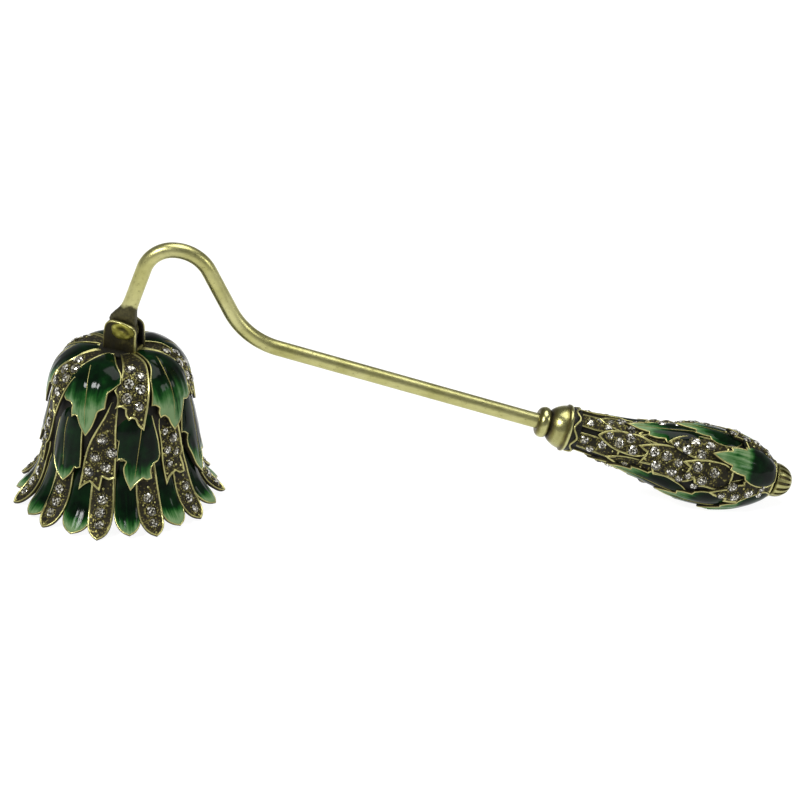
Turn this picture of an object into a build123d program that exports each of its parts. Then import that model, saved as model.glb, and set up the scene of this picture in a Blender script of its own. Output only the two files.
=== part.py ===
"""Candle snuffer: leaf-covered bell on a pinned fork, bent rod, leaf-covered handle.

Frame: +X along the handle, +Z up, table plane at z = 0, origin at the middle of
the footprint. The bell's own axis is vertical at x = -SHIFT_X.
"""
import os
from math import atan2, cos, degrees, hypot, radians, sin

from build123d import *

os.makedirs("parts", exist_ok=True)

# ------------------------------------------------------------------ dimensions (mm)
SHIFT_X = 66.15         # bell axis sits this far behind the origin
BORE_R = 14.2           # inner wall of the bell
CROWN_Z = 35.7          # bare crown of the bell casting
PIN_Z = 41.0            # hinge pin height
FORK_TURN = 25.0        # fork and pin are turned this far about the bell axis
PIN_X = 0.9             # ears and pin stand this far off the bell axis
ROD_R = 1.75            # stem rod radius
EYE_R = 3.1             # flattened eye at the end of the rod
EYE_T = 2.5
PIN_R = 1.3
PIN_HEAD_R = 2.5
EAR_T = 1.2
SLOT = 2.8
EAR_W = 7.8
LEG_ANGLE = 71.7        # leg of the rod above the eye
LEG_X = 0.25            # where the leg's axis, carried down, passes the pin's height
LOOP_R1 = 6.6
LOOP_R2 = 9.1
DROP_ANGLE = 62.8
BEND_R = 17.7
STEM_ANGLE = 16.0       # straight part of the stem, below horizontal
HANDLE_ANGLE = 14.2     # handle axis, below horizontal
HX, HZ = 94.9, 19.93    # front of the ferrule ring in the bell's frame
UPPER_N, MIDDLE_N, RIM_N = 5, 6, 11     # leaf pairs per tier
UPPER_T0, MIDDLE_T0, RIM_T0 = -22.0, 13.0, 6.5   # first green leaf of each tier
UPPER_C0, MIDDLE_C0, RIM_C0 = 15.0, -16.0, -10.4   # first stone leaf of each tier
STONE_R = 1.0            # 2 mm stones
SEAT_R = 1.03
GAP = 0.02

# outer surfaces, radius and height, from the crown down
GROUND = [(6.0, 35.7), (8.8, 35.25), (11.2, 33.9), (13.0, 32.0), (14.3, 29.6), (15.15, 26.0),
          (15.75, 21.0), (16.4, 15.0), (16.9, 11.5), (17.4, 9.0)]
UPPER = [(5.2, 36.75), (6.5, 36.7), (9.5, 36.0), (12.3, 34.4), (14.2, 32.4), (15.35, 30.0), (16.25, 26.0),
         (16.9, 21.0), (17.0, 20.0)]
MIDDLE = [(14.4, 30.5), (15.35, 26.5), (16.0, 22.5), (16.75, 18.5), (17.5, 14.5), (18.2, 10.8), (18.7, 7.6)]
RIM = [(16.6, 14.5), (17.35, 12.0), (18.2, 9.0), (19.35, 6.2), (20.6, 4.35), (21.9, 2.9), (23.0, 1.75), (23.75, 1.05)]
RIM_IN = [(23.35, 0.0), (22.75, 0.0), (21.7, 0.95), (20.6, 1.95), (19.3, 3.4), (18.0, 5.4), (16.9, 8.2), (15.6, 11.0)]
# handle, distance from the front of the ferrule ring and radius
HANDLE = [(9.6, 4.75), (14.0, 5.15), (18.0, 5.7), (22.0, 6.15), (26.0, 6.95), (30.0, 7.85), (34.0, 8.7), (38.0, 9.2),
          (42.0, 9.25), (46.0, 8.85), (49.6, 8.05), (52.5, 6.95), (55.0, 5.65), (57.6, 4.3)]


# ------------------------------------------------------------------ helpers
def at_height(profile, z):
    """Radius of a profile at a height."""
    for (r0, z0), (r1, z1) in zip(profile, profile[1:]):
        if z1 <= z <= z0:
            return r0 + (r1 - r0) * (z0 - z) / (z0 - z1)
    return profile[0][0] if z > profile[0][1] else profile[-1][0]


def tilted(tilt, z0):
    """Plane through the bell axis whose normal looks to the front and up by tilt degrees."""
    t = radians(tilt)
    return Plane(origin=(0, 0, z0), x_dir=(1, 0, 0), z_dir=(0, -cos(t), sin(t)))


def flat(points, tilt, z0):
    """Points (half width along the surface, radius, height) as seen on the tilted plane."""
    t = radians(tilt)
    out = []
    for w, r, z in points:
        a = w / max(r, 0.1)
        x, y = r * sin(a), -r * cos(a)
        out.append((x, y * sin(t) + (z - z0) * cos(t)))
    return out


def mirror_outline(half):
    """Right half from the root to the tip, closed by its mirror image."""
    left = [(-w, r, z) for w, r, z in reversed(half) if w > 1e-6]
    return list(half) + left


def inset(points, k, lift=0.0):
    """Outline drawn in towards its middle."""
    cx = sum(p[0] for p in points) / len(points)
    ys = [p[1] for p in points]
    cy = (max(ys) + min(ys)) / 2 + lift
    return [(cx + (x - cx) * k, cy + (y - cy) * k) for x, y in points]


def moved_profile(profile, d):
    """Profile offset outwards by d, square to its own direction."""
    out = []
    n = len(profile)
    for i, (r, z) in enumerate(profile):
        r0, z0 = profile[max(i - 1, 0)]
        r1, z1 = profile[min(i + 1, n - 1)]
        tr, tz = r1 - r0, z1 - z0
        m = hypot(tr, tz)
        out.append((r - tz / m * d, z + tr / m * d))
    return out


def band(outer, inner):
    """Ring between two profiles that run the same way."""
    with BuildPart() as ring:
        with BuildSketch(Plane.XZ):
            with BuildLine():
                a = Spline(*outer)
                b = Spline(*inner)
                Line(a @ 0, b @ 0)
                Line(a @ 1, b @ 1)
            make_face()
        revolve(axis=Axis.Z)
    return ring.part


def plate(outline, tilt, z0, ring):
    """Piece of a ring inside an outline drawn on the tilted plane."""
    with BuildPart() as piece:
        with BuildSketch(tilted(tilt, z0)):
            Polygon(*outline, align=None)
        extrude(amount=45)
        add(ring, mode=Mode.INTERSECT)
    return piece.part


def surface_plane(profile, theta, z, d):
    """Plane on a bell profile at an angle from the front, d above it, normal outwards."""
    for (r0, z0), (r1, z1) in zip(profile, profile[1:]):
        if z1 <= z <= z0:
            break
    r = r0 + (r1 - r0) * (z0 - z) / (z0 - z1)
    m = hypot(r1 - r0, z1 - z0)
    nr, nz = -(z1 - z0) / m, (r1 - r0) / m
    a = radians(theta)
    n = Vector(nr * sin(a), -nr * cos(a), nz)
    o = Vector(r * sin(a), -r * cos(a), z) + n * d
    return Plane(origin=o, x_dir=(cos(a), sin(a), 0), z_dir=n)


# ------------------------------------------------------------------ bell leaf outlines
def half_upper(k):
    rows = [(5.6, 36.75, 1.3), (9.5, 36.0, 3.0), (12.3, 34.4, 4.6), (14.2, 32.4, 5.3), (15.35, 30.0, 5.6), (15.7, 28.4, 5.6),
            (15.8, 28.0, 4.3), (16.2, 26.2, 4.0), (16.3, 25.8, 2.4), (16.7, 22.1, 0.0)]
    return [(w * k, r, z) for r, z, w in rows]


def half_middle(k):
    rows = [(15.6, 25.2, 2.6), (16.2, 21.8, 4.4), (16.6, 19.4, 4.8), (16.9, 17.6, 4.8), (17.0, 17.0, 4.0), (17.4, 14.8, 3.9),
            (17.6, 14.0, 3.1), (17.9, 12.4, 2.7), (18.4, 9.4, 0.0)]
    return [(w * k, r, z) for r, z, w in rows]


def half_rim(w0, w1, r_tip, z_tip):
    return [(w0, 17.35, 12.0), (w0 + 0.15, 18.2, 9.0), (w1, 19.8, 5.5), (w1, 21.0, 3.85), (w1 * 0.93, 21.9, 2.9),
            (w1 * 0.55, (21.9 + r_tip) / 2 + 0.35, (2.9 + z_tip) / 2 - 0.15), (0.0, r_tip, z_tip)]


U_TILT, U_Z = 32.0, 20.0
M_TILT, M_Z = 0.0, 0.0
R_TILT, R_Z = 30.0, 0.0
OUT_UG = flat(mirror_outline(half_upper(1.0)), U_TILT, U_Z)
OUT_UC = flat(mirror_outline(half_upper(0.69)), U_TILT, U_Z)
OUT_MG = flat(mirror_outline(half_middle(1.0)), M_TILT, M_Z)
OUT_MC = flat(mirror_outline(half_middle(0.76)), M_TILT, M_Z)
OUT_RG = flat(mirror_outline(half_rim(2.1, 2.55, 22.7, 1.95)), R_TILT, R_Z)
OUT_RC = flat(mirror_outline(half_rim(2.3, 2.55, 24.2, 0.2)), R_TILT, R_Z)

ring_u = band(UPPER, moved_profile(GROUND[:7], -0.35))
ring_m = band(MIDDLE, [(r - 1.6, z) for r, z in MIDDLE])
with BuildPart() as ring_r_build:
    with BuildSketch(Plane.XZ):
        with BuildLine():
            a = Spline(*RIM)
            c = Line(RIM_IN[0], RIM_IN[1])
            b = Spline(*RIM_IN[1:])
            Line(a @ 1, c @ 0)
            Line(b @ 1, a @ 0)
        make_face()
    revolve(axis=Axis.Z)
ring_r = ring_r_build.part


def pocket_ring(profile, floor, top):
    """Ring for a recess or its fill, floor and top measured down from the leaf surface."""
    return band(moved_profile(profile, -top), moved_profile(profile, -floor))


def around(piece, count, first):
    """Copies about the bell axis."""
    step = 360.0 / count
    return [piece.rotate(Axis.Z, first + step * i) for i in range(count)]


leaves = []
for outline, tilt, z0, ring, count, first in (
        (OUT_UG, U_TILT, U_Z, ring_u, UPPER_N, UPPER_T0), (OUT_UC, U_TILT, U_Z, ring_u, UPPER_N, UPPER_C0),
        (OUT_MG, M_TILT, M_Z, ring_m, MIDDLE_N, MIDDLE_T0), (OUT_MC, M_TILT, M_Z, ring_m, MIDDLE_N, MIDDLE_C0),
        (OUT_RG, R_TILT, R_Z, ring_r, RIM_N, RIM_T0), (OUT_RC, R_TILT, R_Z, ring_r, RIM_N, RIM_C0)):
    leaves += around(plate(outline, tilt, z0, ring), count, first)


def fill_pieces(depth_floor, depth_top, k, which):
    """Recess shapes of the green leaves, or their fills when drawn slightly smaller."""
    tilt, z0, outline, profile, count, first, low, kk = {
        "upper": (U_TILT, U_Z, OUT_UG, UPPER, UPPER_N, UPPER_T0, 0.0, 0.78),
        "middle": (M_TILT, M_Z, OUT_MG, MIDDLE, MIDDLE_N, MIDDLE_T0, -1.2, 0.74),
        "rim": (R_TILT, R_Z, OUT_RG, RIM, RIM_N, RIM_T0, -1.0, 0.72)}[which]
    ring = pocket_ring(profile, depth_floor, depth_top)
    return around(plate(inset(outline, kk * k, low), tilt, z0, ring), count, first)


SEATS = {"upper": [], "middle": [], "rim": []}
for i in range(UPPER_N):
    t = UPPER_C0 + 360.0 / UPPER_N * i
    for dt, z in ((-4.5, 34.9), (4.5, 33.6), (-5.5, 31.9), (5.5, 30.4), (-6.0, 28.9), (5.0, 27.0), (0.5, 24.9)):
        SEATS["upper"].append(surface_plane(UPPER, t + dt, z, 0.0))
for i in range(MIDDLE_N):
    t = MIDDLE_C0 + 360.0 / MIDDLE_N * i
    for dt, z in ((-4.0, 20.6), (4.5, 18.9), (-4.5, 17.0), (3.5, 14.9), (-3.0, 13.4)):
        SEATS["middle"].append(surface_plane(MIDDLE, t + dt, z, 0.0))
for i in range(RIM_N):
    t = RIM_C0 + 360.0 / RIM_N * i
    for z in (7.7, 5.15, 3.1):
        SEATS["rim"].append(surface_plane(RIM, t, z, 0.0))


def stones(planes):
    """Round cut stones: a short girdle in the seat, a crown and a flat table."""
    with BuildPart() as build:
        with BuildSketch(Plane.XZ):
            Polygon((0, -0.42), (STONE_R - 0.02, -0.42), (STONE_R - 0.02, 0.04), (0.56, 0.32), (0, 0.32), align=None)
        revolve(axis=Axis.Z)
    one = build.part
    return [one.moved(p.location) for p in planes]


# ------------------------------------------------------------------ bell casting
with BuildPart() as bell_casting:
    with BuildSketch(Plane.XZ):
        with BuildLine():
            top = Line((1.55, CROWN_Z), (6.0, CROWN_Z))
            wall = Spline(*GROUND, tangents=[(1, 0), (0.25, -1)])
            skirt = Line((17.4, 9.0), (17.3, 7.6))
            lip = Line((17.3, 7.6), (16.3, 8.2))
            flare = Line((16.3, 8.2), (BORE_R, 11.5))
            bore = Line((BORE_R, 11.5), (BORE_R, 24.0))
            dome = Spline((BORE_R, 24.0), (13.5, 28.2), (12.0, 31.2), (9.6, 33.3), (6.2, 34.25), tangents=[(0, 1), (-1, 0.0)])
            roof = Line((6.2, 34.25), (1.55, 34.25))
            Line((1.55, 34.25), (1.55, CROWN_Z))
        make_face()
    revolve(axis=Axis.Z)
    add(leaves)
    for which in ("upper", "middle", "rim"):
        add(fill_pieces(0.42, -0.6, 1.0, which), mode=Mode.SUBTRACT)
    with Locations(*[p.location for key in SEATS for p in SEATS[key]]):
        Cylinder(radius=SEAT_R, height=1.44, mode=Mode.SUBTRACT)
bell_casting.part.label = "bell_casting"

# ------------------------------------------------------------------ hinge
EAR_X, EAR_OFF = PIN_X * cos(radians(FORK_TURN)), PIN_X * sin(radians(FORK_TURN))
with BuildPart() as hinge_fork:
    with BuildSketch(Plane.XY.offset(CROWN_Z + GAP)):
        Circle(4.9)
    extrude(amount=1.2)
    with BuildSketch(Plane.XY.offset(36.85)):
        with Locations((EAR_X, EAR_OFF)):
            RectangleRounded(11.0, 6.2, 2.2)
    extrude(amount=0.65)
    for side in (-1, 1):
        with BuildSketch(Plane(origin=(EAR_X, EAR_OFF + side * (SLOT / 2 + EAR_T / 2), 0), x_dir=(1, 0, 0), z_dir=(0, -1, 0))):
            with BuildLine():
                Line((-EAR_W / 2, 37.0), (EAR_W / 2, 37.0))
                Line((EAR_W / 2, 37.0), (EAR_W / 2, 42.2))
                ThreePointArc((EAR_W / 2, 42.2), (0, 44.65), (-EAR_W / 2, 42.2))
                Line((-EAR_W / 2, 42.2), (-EAR_W / 2, 37.0))
            make_face()
        extrude(amount=EAR_T / 2, both=True)
    with BuildSketch(Plane.XZ):
        with Locations((EAR_X, PIN_Z)):
            Circle(PIN_R + 0.01)
    extrude(amount=6, both=True, mode=Mode.SUBTRACT)
    with BuildSketch(Plane.XY.offset(CROWN_Z + 0.5)):
        Circle(1.5)
    extrude(amount=-5.2)
with BuildPart() as fork_nut:
    with BuildSketch(Plane.XY.offset(34.25 - 0.03)):
        RegularPolygon(radius=3.5, side_count=6)
        Circle(1.53, mode=Mode.SUBTRACT)
    extrude(amount=-2.2)
    chamfer(fork_nut.faces().sort_by(Axis.Z)[0].outer_wire().edges(), 0.3)

HEAD_T = 0.6
EAR_Y = SLOT / 2 + EAR_T
with BuildPart() as hinge_pin:
    with BuildSketch(Plane.XY):
        Polygon((0, -EAR_Y - 0.4), (0.95, -EAR_Y - 0.4), (1.05, -EAR_Y - HEAD_T), (2.1, -EAR_Y - HEAD_T),
                (PIN_HEAD_R, -EAR_Y - 0.3), (PIN_HEAD_R, -EAR_Y - GAP), (PIN_R, -EAR_Y - GAP), (PIN_R, EAR_Y + GAP),
                (PIN_HEAD_R, EAR_Y + GAP), (PIN_HEAD_R, EAR_Y + 0.3), (2.1, EAR_Y + HEAD_T), (1.05, EAR_Y + HEAD_T),
                (0.95, EAR_Y + 0.4), (0, EAR_Y + 0.4), align=None)
    revolve(axis=Axis.Y)

PIN_LOCATION = Location((0, 0, PIN_Z))
TURN = Location((0, 0, 0), (0, 0, -FORK_TURN))

# ------------------------------------------------------------------ bent rod
leg = radians(LEG_ANGLE)
root = (LEG_X + 5.0 * cos(leg), PIN_Z + 5.0 * sin(leg))
TOP_X = 11.45
TOP_Z = 60.45
loop_in = (TOP_X - LOOP_R1 * sin(leg), TOP_Z - LOOP_R1 + LOOP_R1 * cos(leg))
ha, sa, da = radians(HANDLE_ANGLE), radians(STEM_ANGLE), radians(DROP_ANGLE)
join = (HX - 1.2 * cos(ha), HZ + 1.2 * sin(ha))         # stem and handle axes meet here
drop = (TOP_X + LOOP_R2 * sin(da), TOP_Z - LOOP_R2 + LOOP_R2 * cos(da))
slope_a, slope_b = -sin(da) / cos(da), -sin(sa) / cos(sa)
cross_x = (join[1] - drop[1] + slope_a * drop[0] - slope_b * join[0]) / (slope_a - slope_b)
cross_z = drop[1] + slope_a * (cross_x - drop[0])
reach = BEND_R * sin((da - sa) / 2) / cos((da - sa) / 2)
bend_in = (cross_x - reach * cos(da), cross_z + reach * sin(da))
kink = 60.0 * sin((sa - ha) / 2) / cos((sa - ha) / 2)
straight_end = (join[0] - kink * cos(sa), join[1] + kink * sin(sa))
TANG = 30.0
with BuildPart() as stem_rod:
    with BuildLine(Plane.XZ) as path:
        l1 = Line(root, loop_in)
        a1 = JernArc(start=loop_in, tangent=(cos(leg), sin(leg)), radius=LOOP_R1, arc_size=-LEG_ANGLE)
        a2 = JernArc(start=a1 @ 1, tangent=(1, 0), radius=LOOP_R2, arc_size=-DROP_ANGLE)
        l2 = Line(a2 @ 1, bend_in)
        a3 = JernArc(start=l2 @ 1, tangent=(cos(da), -sin(da)), radius=BEND_R, arc_size=DROP_ANGLE - STEM_ANGLE)
        l3 = Line(a3 @ 1, straight_end)
        a4 = JernArc(start=l3 @ 1, tangent=(cos(sa), -sin(sa)), radius=60.0, arc_size=STEM_ANGLE - HANDLE_ANGLE)
        l4 = PolarLine(start=a4 @ 1, length=TANG, angle=-HANDLE_ANGLE)
    with BuildSketch(Plane(origin=path.line @ 0, z_dir=path.line % 0)):
        Circle(ROD_R)
    sweep()
    with BuildPart(mode=Mode.PRIVATE) as tongue:
        with BuildSketch(Plane.XZ):
            with Locations((0, PIN_Z)):
                Circle(EYE_R)
            with BuildLine():
                # the neck runs from the eye up into the end of the rod
                far_x = (LEG_X - PIN_X + 7.4 * cos(leg)) * cos(radians(FORK_TURN))
                far = hypot(far_x, 7.4 * sin(leg))
                u = (far_x / far, 7.4 * sin(leg) / far)
                v = (u[1], -u[0])
                Polyline(*[(u[0] * a + v[0] * b, PIN_Z + u[1] * a + v[1] * b)
                           for a, b in ((0.5, -2.7), (3.4, -1.9), (7.2, -1.55), (7.2, 1.55), (3.4, 1.9), (0.5, 2.7))], close=True)
            make_face()
        extrude(amount=EYE_T / 2, both=True)
        with BuildSketch(Plane.XZ):
            with Locations((0, PIN_Z)):
                Circle(PIN_R + 0.06)
        extrude(amount=6, both=True, mode=Mode.SUBTRACT)
    add(tongue.part.moved(TURN).moved(Location((PIN_X, 0, 0))))

# ------------------------------------------------------------------ handle, built along its own axis
HANDLE_PLANE = Plane(origin=(HX, 0, HZ), x_dir=(-sin(ha), 0, -cos(ha)), z_dir=(cos(ha), 0, -sin(ha)))
DOWN = [(r, s) for s, r in reversed(HANDLE)]
HOLE = ROD_R + GAP


def turned(points):
    with BuildPart() as body:
        with BuildSketch(Plane.XZ):
            with BuildLine():
                inner0, inner1 = points[0], points[-1]
                curve = Spline(*points[1:-1])
                Line(inner0, curve @ 0)
                Line(curve @ 1, inner1)
                Line(inner1, inner0)
            make_face()
        revolve(axis=Axis.Z)
    return body.part


ring_local = turned([(HOLE, 0.0), (2.4, 0.0), (3.15, 0.45), (3.55, 1.3), (3.45, 2.1), (2.85, 2.72), (HOLE, 2.72)])
with BuildPart() as cup_build:
    with BuildSketch(Plane.XZ):
        with BuildLine():
            side = Spline((2.95, 2.75), (3.5, 3.15), (4.2, 4.0), (4.75, 5.1), (5.05, 6.3))
            Line(side @ 1, (5.4, 6.6))
            Line((5.4, 6.6), (5.45, 7.0))
            Line((5.45, 7.0), (5.25, 7.35))
            Line((5.25, 7.35), (HOLE, 7.35))
            Line((HOLE, 7.35), (HOLE, 2.75))
            Line((HOLE, 2.75), side @ 0)
        make_face()
    revolve(axis=Axis.Z)
with BuildPart() as calyx_build:
    with BuildSketch(Plane.XZ):
        Polygon((HOLE, 7.37), (4.95, 7.37), (5.05, 7.9), (4.75, 9.58), (HOLE, 9.58), align=None)
    revolve(axis=Axis.Z)
    with BuildSketch(Plane.XY.offset(9.58)):
        with PolarLocations(5.15, 12):
            Circle(0.75)
    extrude(amount=-1.1, mode=Mode.SUBTRACT)

CAP = [(3.95, 57.9), (3.85, 59.0), (3.3, 60.4), (2.2, 61.6), (0.001, 62.15)]
with BuildPart() as cap_build:
    with BuildSketch(Plane.XZ):
        with BuildLine():
            dome = Spline(*CAP)
            Line((0.001, 62.15), (0.001, 57.62))
            Line((0.001, 57.62), (3.7, 57.62))
            Line((3.7, 57.62), (3.95, 57.9))
        make_face()
    revolve(axis=Axis.Z)
    with BuildPart(mode=Mode.PRIVATE) as flute:
        with BuildSketch(Plane.XZ):
            with BuildLine():
                outer = Spline((4.3, 58.3), (4.15, 59.2), (3.6, 60.7), (2.7, 61.8))
                inner = Spline((3.65, 58.3), (3.5, 59.1), (2.95, 60.3), (2.3, 61.15))
                Line(outer @ 0, inner @ 0)
                Line(outer @ 1, inner @ 1)
            make_face()
        revolve(axis=Axis.Z, revolution_arc=11)
    add([flute.part.rotate(Axis.Z, 360 / 16 * i) for i in range(16)], mode=Mode.SUBTRACT)
    with BuildSketch(Plane.XY.offset(57.62)):
        Circle(1.22)
    extrude(amount=2.7, mode=Mode.SUBTRACT)
with BuildPart() as stud_build:
    with BuildSketch(Plane.XY.offset(52.0)):
        Circle(1.2)
    extrude(amount=8.25)

# leaf tiers of the handle: root, tip, half widths, pairs, first green, first stone leaf
TIERS = {
    "rear": (57.3, 44.0, 4.3, 3.2, 4, -41.0, 4.0),
    "mid_a": (46.6, 36.3, 4.0, 3.0, 4, 30.0, -15.0),
    "mid_b": (39.0, 25.3, 4.3, 4.0, 3, 33.0, -27.0),
    "front": (28.0, 12.0, 3.1, 2.6, 3, 20.0, -40.0),
}


def tier_profile(name, sink=0.0):
    root_s, tip_s = TIERS[name][:2]
    out = []
    steps = 6
    for i in range(steps + 1):
        s_at = root_s + 0.3 - (root_s - tip_s + 1.1) * i / steps
        r = at_height(DOWN, s_at)
        lift = -0.45 * (1 - i / steps) if name != "rear" else 0.0
        out.append((r + lift - sink, s_at))
    return out


def tier_half(name, width):
    root_s, tip_s = TIERS[name][:2]
    span = root_s - tip_s
    rows = []
    for f, k in ((0.0, 0.62), (0.2, 0.9), (0.4, 1.0), (0.55, 1.0), (0.6, 0.8), (0.76, 0.72), (0.8, 0.5), (0.9, 0.32), (1.0, 0.0)):
        s_at = root_s - span * f
        r = at_height(DOWN, s_at)
        rows.append((min(width * k, r * 0.72), r, s_at))
    return rows


def tier_outlines(name):
    green = flat(mirror_outline(tier_half(name, TIERS[name][2])), 0.0, 0.0)
    stone = flat(mirror_outline(tier_half(name, TIERS[name][3])), 0.0, 0.0)
    return green, stone


handle_leaves = []
for name, (root_s, tip_s, wg, wc, pairs, tg, tc) in TIERS.items():
    prof = tier_profile(name)
    ring = band(prof, [(r - 1.5, z) for r, z in prof])
    green, stone = tier_outlines(name)
    handle_leaves += around(plate(green, 0.0, 0.0, ring), pairs, tg)
    handle_leaves += around(plate(stone, 0.0, 0.0, ring), pairs, tc)


def handle_fills(name, depth_floor, depth_top, k):
    root_s, tip_s, wg, wc, pairs, tg, tc = TIERS[name]
    prof = tier_profile(name)
    ring = pocket_ring(prof, depth_floor, depth_top)
    green, stone = tier_outlines(name)
    low = 0.0 if name == "rear" else -1.3
    shape = inset(green, (0.74 if name == "rear" else 0.68) * k, low)
    return around(plate(shape, 0.0, 0.0, ring), pairs, tg)


HANDLE_SEATS = {"rear": [], "middle": [], "front": []}
for name, node, spots in (
        ("rear", "rear", ((-10.0, 55.4), (7.5, 53.8), (-9.5, 51.9), (9.0, 50.2), (-6.5, 48.8), (3.0, 46.9))),
        ("mid_a", "middle", ((-8.0, 43.2), (8.0, 42.6), (-6.0, 40.8), (4.0, 39.2))),
        ("mid_b", "middle", ((-11.0, 35.8), (10.0, 35.4), (-1.0, 33.6), (-11.0, 31.8), (8.5, 31.2), (0.0, 29.0))),
        ("front", "front", ((-10.0, 24.2), (9.0, 22.6), (-8.0, 20.8), (7.0, 18.6), (0.0, 16.4)))):
    pairs, tc = TIERS[name][4], TIERS[name][6]
    for i in range(pairs):
        for dt, s_at in spots:
            seat = surface_plane(tier_profile(name), tc + 360.0 / pairs * i + dt, s_at, 0.0)
            low = HANDLE_PLANE.from_local_coords(seat.origin + seat.z_dir * 0.32)
            if low.Z > 0.75 or node != "rear":
                HANDLE_SEATS[node].append(seat)

with BuildPart() as casting_build:
    with BuildSketch(Plane.XZ):
        with BuildLine():
            body = Spline(*[(r - 1.0, s_at) for s_at, r in HANDLE])
            Line((HOLE, 9.6), body @ 0)
            Line(body @ 1, (1.22, 57.6))
            Line((1.22, 57.6), (1.22, 51.95))
            Line((1.22, 51.95), (0.0, 51.95))
            Line((0.0, 51.95), (0.0, 30.0))
            Line((0.0, 30.0), (HOLE, 30.0))
            Line((HOLE, 30.0), (HOLE, 9.6))
        make_face()
    revolve(axis=Axis.Z)
    with BuildSketch(Plane.XZ):
        Polygon((3.0, 9.6), (4.7, 9.6), (4.95, 10.6), (4.6, 11.6), (3.0, 11.6), align=None)
    revolve(axis=Axis.Z)
    add(handle_leaves)
    for name in TIERS:
        add(handle_fills(name, 0.42, -0.6, 1.0), mode=Mode.SUBTRACT)
    with Locations(*[p.location for key in HANDLE_SEATS for p in HANDLE_SEATS[key]]):
        Cylinder(radius=SEAT_R, height=1.44, mode=Mode.SUBTRACT)

# ------------------------------------------------------------------ place and write everything
ON_HANDLE = HANDLE_PLANE.location
HOME = Location((-SHIFT_X, 0, 0))
bell = {
    "bell_casting": [bell_casting.part],
    "bell_enamel_upper": fill_pieces(0.40, 0.06, 0.992, "upper"),
    "bell_enamel_middle": fill_pieces(0.40, 0.06, 0.992, "middle"),
    "bell_enamel_rim": fill_pieces(0.40, 0.06, 0.992, "rim"),
    "bell_crystals_upper": stones(SEATS["upper"]),
    "bell_crystals_middle": stones(SEATS["middle"]),
    "bell_crystals_rim": stones(SEATS["rim"]),
    "hinge_fork": [hinge_fork.part.moved(TURN)],
    "fork_nut": [fork_nut.part.moved(TURN)],
    "hinge_pin": [hinge_pin.part.moved(PIN_LOCATION).moved(TURN).moved(Location((PIN_X, 0, 0)))],
    "stem_rod": [stem_rod.part],
}
on_axis = {
    "ferrule_ring": [ring_local],
    "ferrule_cup": [cup_build.part],
    "handle_calyx": [calyx_build.part],
    "handle_casting": [casting_build.part],
    "handle_enamel_rear": handle_fills("rear", 0.40, 0.06, 0.992),
    "handle_enamel_middle": handle_fills("mid_a", 0.40, 0.06, 0.992) + handle_fills("mid_b", 0.40, 0.06, 0.992),
    "handle_enamel_front": handle_fills("front", 0.40, 0.06, 0.992),
    "handle_crystals_rear": stones(HANDLE_SEATS["rear"]),
    "handle_crystals_middle": stones(HANDLE_SEATS["middle"]),
    "handle_crystals_front": stones(HANDLE_SEATS["front"]),
    "end_cap": [cap_build.part],
    "cap_stud": [stud_build.part],
}
nodes = {k: [s.moved(HOME) for s in v] for k, v in bell.items()}
nodes.update({k: [s.moved(ON_HANDLE).moved(HOME) for s in v] for k, v in on_axis.items()})
for label, pieces in nodes.items():
    with BuildPart() as node:
        add(pieces)
    node.part.label = label
    export_step(node.part, "parts/" + label + ".step")
    box = node.part.bounding_box()
    print(label, len(node.part.solids()), round(node.part.volume, 1), [round(v, 2) for v in (*box.min, *box.max)])
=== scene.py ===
"""Candle snuffer: leaf-covered bell on a pinned fork, bent rod, leaf-covered handle.

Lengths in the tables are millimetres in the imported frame; meshes are in metres.
"""
import math

import bmesh
import bpy
import numpy as np
from mathutils import Matrix, Vector
from mathutils.geometry import delaunay_2d_cdt


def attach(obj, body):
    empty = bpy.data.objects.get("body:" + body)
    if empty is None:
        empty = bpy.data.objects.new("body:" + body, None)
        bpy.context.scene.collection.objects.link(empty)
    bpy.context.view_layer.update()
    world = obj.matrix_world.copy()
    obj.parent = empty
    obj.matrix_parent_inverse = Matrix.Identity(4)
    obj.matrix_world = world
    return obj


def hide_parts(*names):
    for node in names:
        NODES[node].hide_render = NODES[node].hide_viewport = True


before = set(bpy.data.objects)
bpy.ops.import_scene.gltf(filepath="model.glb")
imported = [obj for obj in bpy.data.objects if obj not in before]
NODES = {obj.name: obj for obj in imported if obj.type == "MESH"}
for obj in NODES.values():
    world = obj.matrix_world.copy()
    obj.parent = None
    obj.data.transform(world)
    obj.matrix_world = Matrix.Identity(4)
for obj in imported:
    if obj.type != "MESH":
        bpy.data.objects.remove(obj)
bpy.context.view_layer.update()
MM = 0.001

# ------------------------------------------------------------------ camera
CAM_AT = Vector((-51.918, -606.557, 329.621)) * MM
RIGHT = Vector((0.99723, -0.05632, 0.04863)).normalized()
FORWARD = Vector((0.07218, 0.89102, -0.44819)).normalized()
UP = RIGHT.cross(FORWARD).normalized()
RIGHT = FORWARD.cross(UP).normalized()
cam_data = bpy.data.cameras.new("camera")
cam_data.sensor_width = 36.0
cam_data.lens = 135.0           # 3000 pixels of focal length over an 800 pixel frame
cam_data.clip_start = 0.01
cam_data.clip_end = 20.0
cam = bpy.data.objects.new("camera", cam_data)
bpy.context.scene.collection.objects.link(cam)
cam.matrix_world = Matrix((
    (RIGHT.x, UP.x, -FORWARD.x, CAM_AT.x),
    (RIGHT.y, UP.y, -FORWARD.y, CAM_AT.y),
    (RIGHT.z, UP.z, -FORWARD.z, CAM_AT.z),
    (0, 0, 0, 1)))
bpy.context.scene.camera = cam


# ------------------------------------------------------------------ colours and node helpers
def lin(r, g, b):
    """8-bit display colour to linear."""
    out = []
    for v in (r, g, b):
        v /= 255.0
        out.append(v / 12.92 if v <= 0.04045 else ((v + 0.055) / 1.055) ** 2.4)
    return (*out, 1.0)


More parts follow.
